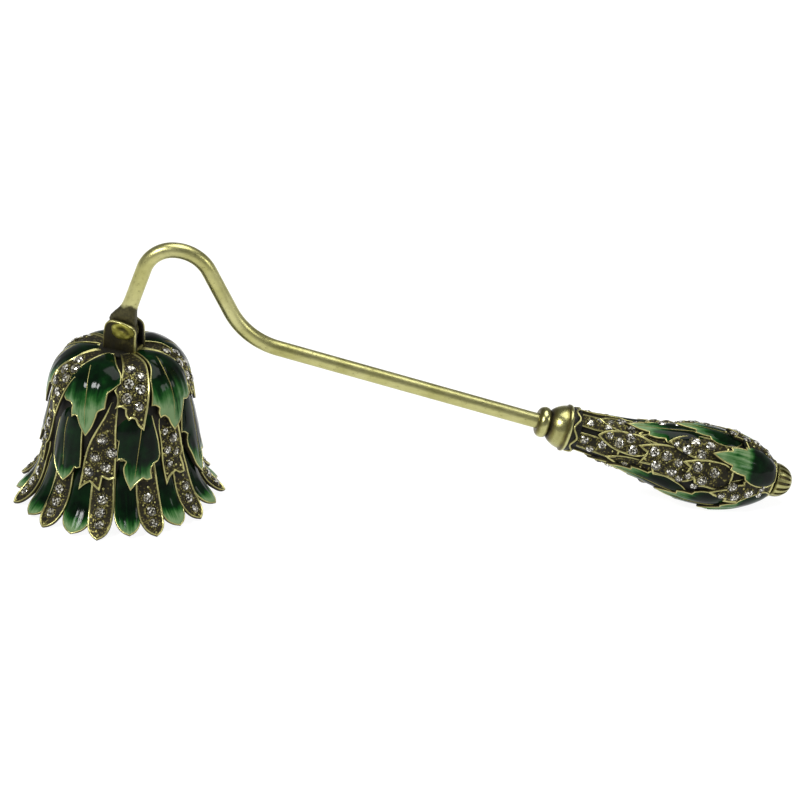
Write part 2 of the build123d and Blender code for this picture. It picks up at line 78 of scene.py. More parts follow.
class Graph:
    """A material's node tree with one Principled shader."""

    def __init__(self, name):
        self.mat = bpy.data.materials.new(name)
        self.mat.use_nodes = True
        self.tree = self.mat.node_tree
        for n in list(self.tree.nodes):
            self.tree.nodes.remove(n)
        self.out = self.tree.nodes.new("ShaderNodeOutputMaterial")
        self.bsdf = self.tree.nodes.new("ShaderNodeBsdfPrincipled")
        self.tree.links.new(self.bsdf.outputs[0], self.out.inputs[0])

    def add(self, kind, **values):
        n = self.tree.nodes.new("ShaderNode" + kind)
        for k, v in values.items():
            setattr(n, k, v)
        return n

    def put(self, socket, value):
        """Set a socket to a number, a colour or another node's output."""
        if isinstance(value, bpy.types.NodeSocket):
            self.tree.links.new(value, socket)
        else:
            socket.default_value = value

    def set(self, **values):
        for k, v in values.items():
            self.put(self.bsdf.inputs[k.replace("_", " ")], v)

    def attribute(self, name, vector=False):
        n = self.add("Attribute", attribute_name=name)
        return n.outputs["Vector" if vector else "Fac"]

    def coords(self):
        return self.add("TexCoord").outputs["Object"]

    def math(self, op, a, b=0.0, c=0.0, clamp=False):
        n = self.add("Math", operation=op, use_clamp=clamp)
        self.put(n.inputs[0], a)
        self.put(n.inputs[1], b)
        self.put(n.inputs[2], c)
        return n.outputs[0]

    def vec(self, x, y, z):
        n = self.add("CombineXYZ")
        for i, v in enumerate((x, y, z)):
            self.put(n.inputs[i], v)
        return n.outputs[0]

    def split(self, v):
        n = self.add("SeparateXYZ")
        self.put(n.inputs[0], v)
        return n.outputs

    def scaled(self, v, s):
        n = self.add("VectorMath", operation="MULTIPLY")
        self.put(n.inputs[0], v)
        n.inputs[1].default_value = s if isinstance(s, tuple) else (s, s, s)
        return n.outputs[0]

    def noise(self, v, scale, detail=3.0, rough=0.55, distortion=0.0):
        n = self.add("TexNoise")
        self.put(n.inputs["Vector"], v)
        n.inputs["Scale"].default_value = scale
        n.inputs["Detail"].default_value = detail
        n.inputs["Roughness"].default_value = rough
        n.inputs["Distortion"].default_value = distortion
        return n.outputs["Fac"]

    def ramp(self, fac, stops, smooth=False):
        n = self.add("ValToRGB")
        self.put(n.inputs[0], fac)
        r = n.color_ramp
        r.interpolation = "EASE" if smooth else "LINEAR"
        while len(r.elements) < len(stops):
            r.elements.new(0.5)
        for e, (p, c) in zip(r.elements, stops):
            e.position = p
            e.color = c if isinstance(c, tuple) else (c, c, c, 1.0)
        return n.outputs[0]

    def mix(self, fac, a, b, blend="MIX"):
        n = self.add("Mix", data_type="RGBA", blend_type=blend)
        self.put(n.inputs[0], fac)
        self.put(n.inputs[6], a)
        self.put(n.inputs[7], b)
        return n.outputs[2]

    def span(self, v, lo, hi, to_lo=0.0, to_hi=1.0):
        n = self.add("MapRange", clamp=True)
        self.put(n.inputs[0], v)
        for i, x in enumerate((lo, hi, to_lo, to_hi)):
            n.inputs[i + 1].default_value = x
        return n.outputs[0]

    def bump(self, height, strength, distance):
        n = self.add("Bump")
        n.inputs["Strength"].default_value = strength
        n.inputs["Distance"].default_value = distance
        self.put(n.inputs["Height"], height)
        return n.outputs[0]


# ------------------------------------------------------------------ materials
BRASS_HI = lin(190, 186, 126)
BRASS_MID = lin(126, 120, 68)
PATINA = lin(50, 46, 26)
PATINA_DEEP = lin(17, 17, 11)


def make_antique(name, worn_attribute=True, tones=(PATINA_DEEP, PATINA, BRASS_MID, BRASS_HI)):
    """Antiqued brass: dark patina low down, rubbed bright on the edges; the same brightness attribute also carries some
    painted highlights and glints.
    """
    g = Graph(name)
    pos = g.coords()
    fine = g.noise(pos, 2600.0, 4.0, 0.6)
    broad = g.noise(pos, 420.0, 3.0, 0.5)
    if worn_attribute:
        worn = g.attribute("worn")
    else:
        worn = 0.35
    w = g.math("ADD", worn, g.math("MULTIPLY", g.math("SUBTRACT", broad, 0.5), 0.55))
    w = g.math("ADD", w, g.math("MULTIPLY", g.math("SUBTRACT", fine, 0.5), 0.35), clamp=True)
    colour = g.ramp(w, list(zip((0.0, 0.3, 0.62, 1.0), tones)))
    rough = g.ramp(w, [(0.0, 0.62), (0.45, 0.5), (1.0, 0.3)])
    metal = g.ramp(w, [(0.0, 0.55), (0.5, 0.9), (1.0, 1.0)])
    g.set(Base_Color=colour, Roughness=rough, Metallic=metal)
    g.bsdf.inputs["Specular IOR Level"].default_value = 0.4
    g.set(Normal=g.bump(g.math("ADD", fine, g.math("MULTIPLY", broad, 1.5)), 0.5, 0.00006))
    return g.mat


def make_axis_brass(name, origin, axis, bands, tint, rough_lo=0.22, rough_hi=0.5, flutes=None):
    """Turned brass with its grooves darkened by patina and painted shade: bands are (distance along the axis in mm,
    cleanness 0..1, where low values are patina and painted shade).
    """
    g = Graph(name)
    pos = g.coords()
    rel = g.add("VectorMath", operation="SUBTRACT")
    g.put(rel.inputs[0], pos)
    rel.inputs[1].default_value = tuple(Vector(origin) * MM)
    dot = g.add("VectorMath", operation="DOT_PRODUCT")
    g.put(dot.inputs[0], rel.outputs[0])
    dot.inputs[1].default_value = axis
    lo, hi = bands[0][0], bands[-1][0]
    wob = g.math("MULTIPLY", g.math("SUBTRACT", g.noise(pos, 900.0, 2.0), 0.5), 0.0004)
    along = g.span(g.math("ADD", dot.outputs["Value"], wob), lo * MM, hi * MM)
    # the bands paint grooves and joins dark, as patina and painted shade
    clean_and_unshaded = g.ramp(along, [((s - lo) / (hi - lo), c) for s, c in bands])
    fine = g.noise(pos, 2400.0, 4.0, 0.6)
    broad = g.noise(pos, 500.0, 3.0, 0.5)
    if flutes:
        count, first, down = flutes
        across = g.add("VectorMath", operation="DOT_PRODUCT")
        g.put(across.inputs[0], rel.outputs[0])
        across.inputs[1].default_value = down
        turn = g.math("ARCTAN2", g.split(rel.outputs[0])[1], across.outputs["Value"])
        wave = g.math("COSINE", g.math("MULTIPLY", g.math("SUBTRACT", turn, math.radians(first)), float(count)))
        # flute hollows darkened as patina and painted shade
        low = g.math("MULTIPLY", g.span(wave, -0.2, 0.6), g.span(along, 0.12, 0.25, 0.0, 1.0))
        low = g.math("MULTIPLY", low, g.span(along, 0.78, 0.95, 1.0, 0.0))
        clean_and_unshaded = g.math("SUBTRACT", clean_and_unshaded, g.math("MULTIPLY", low, 0.62))
    w = g.math("ADD", clean_and_unshaded, g.math("MULTIPLY", g.math("SUBTRACT", broad, 0.5), 0.4))
    w = g.math("ADD", w, g.math("MULTIPLY", g.math("SUBTRACT", fine, 0.5), 0.25), clamp=True)
    colour = g.ramp(w, [(0.0, PATINA_DEEP), (0.3, lin(84, 76, 44)), (0.6, tint[0]), (1.0, tint[1])])
    g.set(Base_Color=colour, Metallic=g.ramp(w, [(0.0, 0.6), (0.5, 1.0)]), Roughness=g.ramp(w, [(0.0, rough_hi), (1.0, rough_lo)]))
    g.set(Normal=g.bump(g.math("ADD", fine, broad), 0.35, 0.00005))
    return g.mat


def make_rod():
    """Satin yellow-green brass with faint lengthwise drawing marks and dark specks."""
    g = Graph("satin_brass_rod")
    pos = g.coords()
    specks = g.noise(pos, 1500.0, 5.0, 0.65)
    broad = g.noise(pos, 160.0, 3.0, 0.5)
    drawn = g.noise(g.scaled(pos, (0.06, 1.0, 0.25)), 2600.0, 3.0, 0.6)
    base = g.mix(g.span(broad, 0.3, 0.7), lin(173, 170, 108), lin(198, 195, 138))
    base = g.mix(g.span(drawn, 0.35, 0.75, 0.0, 0.35), base, lin(130, 126, 80))
    base = g.mix(g.span(specks, 0.60, 0.72, 0.0, 0.7), base, lin(84, 78, 44))
    z = g.split(pos)[2]
    x = g.split(pos)[0]
    # the flattened end is left dark, with a bright rubbed strip along its right side
    wob = g.math("MULTIPLY", g.math("SUBTRACT", g.noise(pos, 700.0, 3.0), 0.5), 0.0012)
    arch = g.math("MULTIPLY", g.math("POWER", g.math("MULTIPLY", g.math("MAXIMUM", g.math("ADD", x, 0.0641), -0.0013), 571.0), 2.0), 0.0011)
    height = g.math("ADD", g.math("ADD", z, wob), arch)
    near_eye = g.math("MULTIPLY", g.span(height, 0.0471, 0.0478, 1.0, 0.0), g.span(g.math("ADD", x, wob), -0.0624, -0.0619, 1.0, 0.0))
    grime = g.mix(g.span(specks, 0.35, 0.65), lin(30, 27, 15), lin(70, 65, 38))
    base = g.mix(g.math("MULTIPLY", near_eye, 0.95), base, grime)
    g.set(Base_Color=base, Metallic=g.span(near_eye, 0.0, 1.0, 1.0, 0.75), Roughness=g.math("ADD", g.span(specks, 0.3, 0.75, 0.27, 0.46), g.math("MULTIPLY", near_eye, 0.15)))
    g.set(Normal=g.bump(g.math("ADD", drawn, specks), 0.35, 0.00005))
    return g.mat


def make_enamel():
    """Glass enamel, near-black green where it is deep and milky sage where it thins out towards a leaf's tip."""
    g = Graph("green_enamel_glass")
    lx, lt, le = g.attribute("leaf_x"), g.attribute("leaf_t"), g.attribute("leaf_edge")
    pale, ident = g.attribute("leaf_pale"), g.attribute("leaf_id")
    soft = g.attribute("leaf_soft")
    pos = g.coords()
    streak = g.noise(g.vec(g.math("MULTIPLY", lx, 5.5), g.math("MULTIPLY", lt, 1.4), g.math("MULTIPLY", ident, 7.3)), 1.0, 4.0, 0.6, 0.35)
    cloud = g.noise(pos, 330.0, 3.0, 0.55)
    k = g.math("SUBTRACT", lt, pale)
    k = g.math("MINIMUM", g.math("MAXIMUM", g.math("DIVIDE", k, soft), -0.5), g.attribute("leaf_top"))
    k = g.math("ADD", k, g.math("MULTIPLY", g.math("SUBTRACT", streak, 0.5), g.span(k, -0.5, 0.2, 0.6, 1.7)))
    k = g.math("ADD", k, g.math("MULTIPLY", g.math("SUBTRACT", cloud, 0.5), g.span(k, -0.5, 0.2, 0.3, 0.9)))
    edge = g.span(le, 0.35, 1.5, 0.28, 0.0)
    k = g.math("ADD", k, g.math("MULTIPLY", edge, g.span(lt, 0.1, 0.6, 0.2, 1.0)))
    k = g.math("ADD", k, 0.5, clamp=True)
    deep = g.noise(pos, 210.0, 3.0, 0.6)                # emerald clouds in the dark part
    k = g.math("MAXIMUM", k, g.span(deep, 0.42, 0.78, 0.0, 0.36))
    colour = g.ramp(k, [(0.0, lin(4, 13, 6)), (0.22, lin(7, 32, 11)), (0.42, lin(20, 64, 22)), (0.60, lin(54, 94, 48)),
                        (0.80, lin(82, 114, 72)), (1.0, lin(108, 133, 92))])
    g.set(Base_Color=colour, Roughness=g.span(k, 0.3, 1.0, 0.10, 0.26), Metallic=0.0)
    b = g.bsdf.inputs
    b["IOR"].default_value = 1.52
    b["Specular IOR Level"].default_value = 0.095
    g.set(Normal=g.bump(g.math("ADD", g.math("MULTIPLY", streak, g.span(lt, 0.35, 1.0, 0.1, 1.0)), g.math("MULTIPLY", cloud, 0.25)), 0.45, 0.00012))
    return g.mat


def make_stone():
    """Foiled cut glass with painted reflections: each facet's colour is a painted brightness, from dark to bright,
    standing in for what it reflects.
    """
    g = Graph("cut_crystal")
    tone = g.attribute("tone")
    pos = g.coords()
    glint_mottle = g.noise(pos, 1800.0, 2.0)
    # painted reflections: the facet brightness, mottled by noise, sets colour, gloss and metalness
    t = g.math("ADD", tone, g.math("MULTIPLY", g.math("SUBTRACT", glint_mottle, 0.5), 0.25), clamp=True)
    colour = g.ramp(t, [(0.0, lin(18, 17, 11)), (0.3, lin(54, 50, 34)), (0.55, lin(112, 107, 80)), (0.78, lin(202, 198, 174)), (1.0, lin(255, 254, 248))])
    g.set(Base_Color=colour, Roughness=g.span(t, 0.0, 1.0, 0.10, 0.03), Metallic=g.span(t, 0.5, 1.0, 0.15, 0.55))
    b = g.bsdf.inputs
    b["IOR"].default_value = 1.65
    b["Coat Weight"].default_value = 0.15
    b["Coat Roughness"].default_value = 0.02
    return g.mat


ANTIQUE = make_antique("antique_brass_leaf")
PEEN = make_antique("peened_brass", tones=(lin(24, 22, 8), lin(74, 70, 28), lin(132, 128, 56), lin(204, 200, 110)))
ENAMEL = make_enamel()
STONE = make_stone()
ROD = make_rod()


# ------------------------------------------------------------------ meshes
def build(name, body, slot, verts, faces, material, attributes=None, face_attributes=None, smooth=True, angle=None):
    """A mesh object from millimetre points that rides on a CAD body."""
    mesh = bpy.data.meshes.new(name)
    mesh.from_pydata([tuple(v) for v in np.asarray(verts) * MM], [], [tuple(int(i) for i in f) for f in faces])
    mesh.update()
    for key, values in (attributes or {}).items():
        a = mesh.attributes.new(key, "FLOAT", "POINT")
        a.data.foreach_set("value", np.asarray(values, np.float32))
    for key, values in (face_attributes or {}).items():
        a = mesh.attributes.new(key, "FLOAT", "FACE")
        a.data.foreach_set("value", np.asarray(values, np.float32))
    mesh.materials.append(material)
    obj = bpy.data.objects.new(name, mesh)
    bpy.context.scene.collection.objects.link(obj)
    bm = bmesh.new()
    bm.from_mesh(mesh)
    bmesh.ops.recalc_face_normals(bm, faces=bm.faces)
    bm.to_mesh(mesh)
    bm.free()
    if smooth:
        mesh.polygons.foreach_set("use_smooth", [True] * len(mesh.polygons))
        if angle is not None:
            mesh.set_sharp_from_angle(angle=math.radians(angle))
    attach(obj, body)
    return obj


class Heap:
    """Collects pieces of one mesh."""

    def __init__(self):
        self.v, self.f, self.n = [], [], 0
        self.a = {}
        self.fa = {}

    def add(self, verts, faces, attributes=None, face_attributes=None):
        verts = np.array(verts, float)
        if verts[:, 2].min() < 0.0:             # on the table
            if verts[:, 2].max() < 0.4:
                return
            verts[:, 2] = np.maximum(verts[:, 2], 0.0)
        self.v.append(verts)
        self.f.extend([tuple(i + self.n for i in f) for f in faces])
        for k, val in (attributes or {}).items():
            self.a.setdefault(k, []).append(np.broadcast_to(np.asarray(val, float), (len(verts),)))
        for k, val in (face_attributes or {}).items():
            self.fa.setdefault(k, []).append(np.broadcast_to(np.asarray(val, float), (len(faces),)))
        self.n += len(verts)

    def make(self, name, body, slot, material, **kw):
        return build(name, body, slot, np.concatenate(self.v), self.f, material,
                     {k: np.concatenate(v) for k, v in self.a.items()}, {k: np.concatenate(v) for k, v in self.fa.items()}, **kw)


def curve2(points, per=16):
    """Centripetal Catmull-Rom through 2D points."""
    p = np.asarray(points, float)
    if len(p) == 2:
        return p[0] + (p[1] - p[0]) * np.linspace(0, 1, per + 1)[:, None]
    p = np.vstack([2 * p[0] - p[1], p, 2 * p[-1] - p[-2]])
    out = []
    for i in range(1, len(p) - 2):
        a, b, c, d = p[i - 1:i + 3]
        t0 = 0.0
        t1 = t0 + max(np.linalg.norm(b - a), 1e-9) ** 0.5
        t2 = t1 + max(np.linalg.norm(c - b), 1e-9) ** 0.5
        t3 = t2 + max(np.linalg.norm(d - c), 1e-9) ** 0.5
        t = np.linspace(t1, t2, per + 1)[:, None][: per if i < len(p) - 3 else per + 1]
        a1 = (t1 - t) / (t1 - t0) * a + (t - t0) / (t1 - t0) * b
        a2 = (t2 - t) / (t2 - t1) * b + (t - t1) / (t2 - t1) * c
        a3 = (t3 - t) / (t3 - t2) * c + (t - t2) / (t3 - t2) * d
        b1 = (t2 - t) / (t2 - t0) * a1 + (t - t0) / (t2 - t0) * a2
        b2 = (t3 - t) / (t3 - t1) * a2 + (t - t1) / (t3 - t1) * a3
        out.append((t2 - t) / (t2 - t1) * b1 + (t - t1) / (t2 - t1) * b2)
    return np.vstack(out)


class Turned:
    """Surface of revolution, followed by azimuth (degrees), arc length from the root (mm) and height above it (mm)."""

    def __init__(self, profile, origin, axis, front, side, sag=None):
        self.sag = sag
        p = curve2(profile, 20)
        self.w = np.concatenate([[0], np.cumsum(np.hypot(*np.diff(p, axis=0).T))])
        self.r, self.a = p.T
        tr, ta = np.gradient(self.r, self.w), np.gradient(self.a, self.w)
        m = np.hypot(tr, ta)
        self.nr, self.na = -ta / m, tr / m
        self.o, self.z, self.x, self.y = (np.asarray(v, float) for v in (origin, axis, front, side))
        self.length = self.w[-1]

    def at(self, theta, w, h=0.0):
        theta, w, h = np.broadcast_arrays(np.radians(np.asarray(theta, float)), np.asarray(w, float), np.asarray(h, float))
        over = np.clip(w - self.length, 0, None)
        under = np.clip(w, None, 0)
        r = np.interp(w, self.w, self.r)
        a = np.interp(w, self.w, self.a)
        nr = np.interp(w, self.w, self.nr)
        na = np.interp(w, self.w, self.na)
        r = r + over * self.na[-1] + under * self.na[0] + h * nr
        a = a - over * self.nr[-1] - under * self.nr[0] + h * na
        radial = np.cos(theta)[..., None] * self.x + np.sin(theta)[..., None] * self.y
        return self.bent(self.o + radial * r[..., None] + a[..., None] * self.z, a)

    def bent(self, p, a):
        """Points moved by the slight sag that the surface has along its axis."""
        if self.sag is None:
            return p
        down = 0.45 * self.x + 0.89 * self.y
        return p + np.interp(a, *zip(*self.sag))[..., None] * down

    def w_of(self, a):
        """Arc length at a place along the axis."""
        order = np.argsort(self.a)
        return np.interp(a, self.a[order], self.w[order])

    def radius(self, w):
        return np.interp(w, self.w, self.r)


SHIFT_X, PIN_Z = 66.15, 41.0
HX, HZ, HA = 94.9, 19.93, math.radians(14.2)
BELL = ((-SHIFT_X, 0, 0), (0, 0, 1), (0, -1, 0), (1, 0, 0))
H_ORIGIN = (HX - SHIFT_X, 0, HZ)
H_AXIS = (math.cos(HA), 0, -math.sin(HA))
HAND = (H_ORIGIN, H_AXIS, (0, -1, 0), (-math.sin(HA), 0, -math.cos(HA)))

UPPER = Turned([(3.9, 37.25), (5.2, 37.12), (6.9, 36.72), (9.5, 35.95), (12.3, 34.4), (14.2, 32.4), (15.35, 30.0), (16.25, 26.0), (16.9, 21.0), (17.2, 17.0)], *BELL)
MIDDLE = Turned([(12.9, 33.0), (14.4, 30.5), (15.35, 26.5), (16.0, 22.5), (16.75, 18.5), (17.5, 14.5), (18.2, 10.8), (18.9, 7.4), (19.4, 5.4)], *BELL)
RIM = Turned([(16.3, 17.5), (16.6, 14.5), (17.35, 12.0), (18.2, 9.0), (19.35, 6.2), (20.6, 4.35), (21.9, 2.9), (23.0, 1.75), (23.85, 0.95)], *BELL)
HANDLE_R = [(9.0, 4.7), (9.6, 4.75), (14.0, 5.15), (18.0, 5.7), (22.0, 6.15), (26.0, 6.95), (30.0, 7.85), (34.0, 8.7), (38.0, 9.2),
            (42.0, 9.25), (46.0, 8.85), (49.6, 8.05), (52.5, 6.95), (55.0, 5.65), (57.6, 4.3)]
GRIP = Turned([(r, s) for s, r in reversed(HANDLE_R)], *HAND,
              sag=[(9.0, 0.0), (13.0, 0.22), (18.0, 0.42), (24.0, 0.58), (31.0, 0.66), (38.0, 0.66), (44.0, 0.56), (49.0, 0.34), (53.0, 0.12), (57.0, 0.0)])


# ------------------------------------------------------------------ leaf outlines
def signed_area(p):
    x, y = p.T
    return 0.5 * np.sum(x * np.roll(y, -1) - np.roll(x, -1) * y)


def dense(points, spacing):
    """Closed outline from (x, y, corner) points: straight breaks at corners, smooth between them."""
    pts = [(float(p[0]), float(p[1])) for p in points]
    corner = [len(p) > 2 and bool(p[2]) for p in points]
    if not any(corner):
        corner[0] = True
    first = corner.index(True)
    pts, corner = pts[first:] + pts[:first], corner[first:] + corner[:first]
    pts.append(pts[0])
    corner.append(True)
    out, run = [], [pts[0]]
    for p, c in zip(pts[1:], corner[1:]):
        run.append(p)
        if c:
            q = curve2(run, 14)
            w = np.concatenate([[0], np.cumsum(np.hypot(*np.diff(q, axis=0).T))])
            n = max(2, int(round(w[-1] / spacing)))
            t = np.linspace(0, w[-1], n + 1)[:-1]
            out.append(np.stack([np.interp(t, w, q[:, 0]), np.interp(t, w, q[:, 1])], 1))
            run = [p]
    return np.vstack(out)


def distance(points, poly):
    """Distance from points to a closed polygon, and whether they are inside."""
    a, b = poly, np.roll(poly, -1, 0)
    ab = b - a
    ll = np.maximum((ab ** 2).sum(1), 1e-12)
    best = np.full(len(points), 1e9)
    inside = np.zeros(len(points), bool)
    for i in range(0, len(points), 400):
        q = points[i:i + 400]
        ap = q[:, None, :] - a[None]
        t = np.clip((ap * ab).sum(2) / ll, 0, 1)
        best[i:i + 400] = np.sqrt(((ap - t[..., None] * ab) ** 2).sum(2)).min(1)
        crosses = ((a[:, 1][None] > q[:, 1][:, None]) != (b[:, 1][None] > q[:, 1][:, None]))
        with np.errstate(divide="ignore", invalid="ignore"):
            at = (b[:, 0] - a[:, 0])[None] * (q[:, 1][:, None] - a[:, 1][None]) / (b[:, 1] - a[:, 1])[None] + a[:, 0][None]
        inside[i:i + 400] = (crosses & (q[:, 0][:, None] < at)).sum(1) % 2 == 1
    return best, inside


def rings(poly, depths):
    """Points at set distances inside a polygon."""
    n = len(poly)
    e = np.roll(poly, -1, 0) - poly
    e /= np.maximum(np.linalg.norm(e, axis=1), 1e-9)[:, None]
    left = np.stack([-e[:, 1], e[:, 0]], 1)
    out = []
    for d in depths:
        pts = []
        for i in range(n):
            n0, n1 = left[i - 1], left[i]
            bis = n0 + n1
            m = np.linalg.norm(bis)
            cross = e[i - 1][0] * e[i][1] - e[i - 1][1] * e[i][0]
            if m < 0.2:
                pts.append(poly[i] + e[i - 1] * -0.0 + left[i] * d)
                continue
            bis = bis / m
            if cross < -0.45:                   # notch: fan
                for k in (0.0, 0.33, 0.66, 1.0):
                    v = n0 * (1 - k) + n1 * k
                    pts.append(poly[i] + v / max(np.linalg.norm(v), 1e-6) * d)
            elif cross > 0.35:                  # tip: one point on the mitre
                pts.append(poly[i] + bis * d / max(m / 2, 0.25))
            else:
                pts.append(poly[i] + bis * d)
        pts = np.array(pts)
        dist, ins = distance(pts, poly)
        keep = ins & (dist > d * 0.95) & (dist < d * 1.25 + 0.03)
        out.append(pts[keep])
    return out


class Leaf:
    """One leaf laid on a turned surface: outline, triangulation and heights."""

    count = 0

    def __init__(self, surf, theta, outline, rim=0.36, spacing=0.24, grid=0.36, local=False, root_w=None, tip_w=None, spots=()):
        Leaf.count += 1
        self.ident = Leaf.count
        self.surf, self.theta, self.rim = surf, theta, rim
        if local:
            pts = outline
        else:
            pts = []
            for p in outline:
                w = float(surf.w_of(p[1]))
                x = float(surf.radius(w)) * math.radians(p[0] - theta)
                pts.append((x, w, *p[2:]))
        poly = dense(pts, spacing)
        if signed_area(poly) < 0:
            poly = poly[::-1]
        self.poly = poly
        self.w0 = poly[:, 1].min() if root_w is None else root_w
        self.w1 = poly[:, 1].max() if tip_w is None else tip_w
        self.half = (poly[:, 0].max() - poly[:, 0].min()) / 2
        self.mid = (poly[:, 0].max() + poly[:, 0].min()) / 2
        depths = (rim * 0.25, rim * 0.5, rim * 0.75, rim, rim + 0.08, rim + 0.24, 0.86, 1.15)
        pts = [poly] + rings(poly, depths)
        x0, y0 = poly.min(0)
        x1, y1 = poly.max(0)
        gx, gy = np.meshgrid(np.arange(x0, x1, grid), np.arange(y0, y1, grid * 0.866))
        gx = gx + (np.arange(gx.shape[0]) % 2)[:, None] * grid / 2
        g = np.stack([gx.ravel(), gy.ravel()], 1)
        dist, ins = distance(g, poly)
        g = g[ins & (dist > 1.25)]
        extra = []
        self.spots = []
        for (sx, sy, radius) in spots:
            self.spots.append((sx, sy, radius))
            for k in (0.82, 0.97, 1.06, 1.17, 1.3):
                a = np.linspace(0, 2 * math.pi, 18, endpoint=False) + k
                extra.append(np.stack([sx + radius * k * np.cos(a), sy + radius * k * np.sin(a)], 1))
        if extra:
            ex = np.vstack(extra)
            de, ie = distance(ex, poly)
            ex = ex[ie & (de > 0.5)]
            far = np.ones(len(g), bool)
            for (sx, sy, radius) in spots:
                far &= np.hypot(g[:, 0] - sx, g[:, 1] - sy) > radius * 1.45
            g = np.vstack([g[far], ex])
            rest = []
            for q in pts[5:]:
                keep = np.ones(len(q), bool)
                for (sx, sy, radius) in spots:
                    keep &= np.hypot(q[:, 0] - sx, q[:, 1] - sy) > radius * 1.4
                rest.append(q[keep])
            pts = pts[:5] + rest
        allp = np.vstack(pts + [g])
        n = len(poly)
        v, _, f, _, _, _ = delaunay_2d_cdt([Vector(p) for p in allp], [], [list(range(n))], 1, 1e-4)
        self.p = np.array([(q.x, q.y) for q in v])
        self.f = [tuple(t) for t in f]
        d, ins = distance(self.p, poly)
        d[d < 1e-3] = 0.0
        self.d = d
        self.theta_at = theta + np.degrees(self.p[:, 0] / self.surf.radius(self.p[:, 1]))
        self.t = np.clip((self.p[:, 1] - self.w0) / (self.w1 - self.w0), 0, 1)
        self.x = (self.p[:, 0] - self.mid) / self.half
        # boundary loop in the triangulation's own numbering
        count = {}
        for tri in self.f:
            for i in range(len(tri)):
                e = (tri[i], tri[(i + 1) % len(tri)])
                key = (min(e), max(e))
                count.setdefault(key, []).append(e)
        self.edge = [es[0] for es in count.values() if len(es) == 1]

    def place(self, lift=0.0, tilt=0.0, curl=0.0, crown=0.0, root_drop=0.0):
        """Sets the leaf's own shape over the surface: raised by lift, right side up by tilt, tip out by curl, middle up by crown."""
        t, x = self.t, np.clip(self.x, -1.2, 1.2)
        self.base = lift + tilt * x + curl * t ** 2 + crown * (1 - x ** 2) - root_drop * np.clip(1 - t / 0.3, 0, 1) ** 2
        return self

    def base_at(self, px, py):
        t = (py - self.w0) / (self.w1 - self.w0)
        k = np.argmin((self.p[:, 0] - px) ** 2 + (self.p[:, 1] - py) ** 2)
        return float(self.base[k])

    def solid(self, heap, top, bottom, keep=None, attributes=None):
        """Closed piece between two height fields over the leaf's triangles."""
        faces = self.f
        if keep is not None:
            faces = [t for t in faces if all(keep[i] for i in t)]
        used = sorted({i for t in faces for i in t})
        new = {i: k for k, i in enumerate(used)}
        n = len(used)
        if n == 0:
            return
        idx = np.array(used)
        up = self.surf.at(self.theta_at[idx], self.p[idx, 1], top[idx])
        dn = self.surf.at(self.theta_at[idx], self.p[idx, 1], bottom[idx])
        count = {}
        out = []
        for t in faces:
            q = tuple(new[i] for i in t)
            out.append(q)
            out.append(tuple(i + n for i in reversed(q)))
            for i in range(len(q)):
                e = (q[i], q[(i + 1) % len(q)])
                count.setdefault((min(e), max(e)), []).append(e)
        for es in count.values():
            if len(es) == 1:
                a, b = es[0]
                out.append((b, a, a + n, b + n))
        att = {k: np.concatenate([np.asarray(v)[idx], np.asarray(v)[idx]]) for k, v in (attributes or {}).items()}
        vv = np.vstack([up, dn])
        vv[:, 2] = np.maximum(vv[:, 2], 0.0)
        if attributes and "worn" in attributes:
            att["worn"] = np.concatenate([np.asarray(attributes["worn"])[idx], np.full(n, 0.02)])
        heap.add(vv, out, att)

    def ridge(self):
        """Height of the rounded brass outline over the leaf's edge distance."""
        half = self.rim / 2
        d = np.clip(self.d, 0, self.rim)
        return -0.17 + 0.17 * np.sqrt(np.clip(1 - ((d - half) / half) ** 2, 0, 1))

    def worn(self, floor=0.12):
        k = np.clip((self.d - self.rim) / 0.12, 0, 1)
        edge = 0.92 - 0.62 * np.clip(1 - self.d / 0.09, 0, 1)
        return edge * (1 - k) + floor * k


# ------------------------------------------------------------------ small parts
def tube(path, radii, sides=10):
    """Closed tube through 3D points, with a flat face closing each end."""
    p = np.asarray(path, float)
    t = np.gradient(p, axis=0)
    t /= np.maximum(np.linalg.norm(t, axis=1), 1e-9)[:, None]
    up = np.array((0.0, 0.0, 1.0)) if abs(t[0][2]) < 0.9 else np.array((0.0, 1.0, 0.0))
    verts, faces = [], []
    for i in range(len(p)):
        side = np.cross(t[i], up)
        side /= np.linalg.norm(side)
        up = np.cross(side, t[i])
        a = np.linspace(0, 2 * math.pi, sides, endpoint=False)
        verts.append(p[i] + radii[i] * (np.cos(a)[:, None] * side + np.sin(a)[:, None] * up))
    verts = np.vstack(verts)
    n = len(p)
    for i in range(n - 1):
        for j in range(sides):
            k = (j + 1) % sides
            faces.append((i * sides + j, i * sides + k, (i + 1) * sides + k, (i + 1) * sides + j))
    faces.append(tuple(range(sides))[::-1])
    faces.append(tuple((n - 1) * sides + j for j in range(sides)))
    return verts, faces


def local_frame(surf, theta, w, h):
    """Point and axes on a surface: across, along (towards the tip), out."""
    o = surf.at(theta, w, h)
    out = surf.at(theta, w, h + 1.0) - o
    out /= np.linalg.norm(out)
    along = surf.at(theta, w + 0.2, h) - surf.at(theta, w - 0.2, h)
    along -= out * along.dot(out)
    along /= np.linalg.norm(along)
    return o, np.cross(along, out), along, out


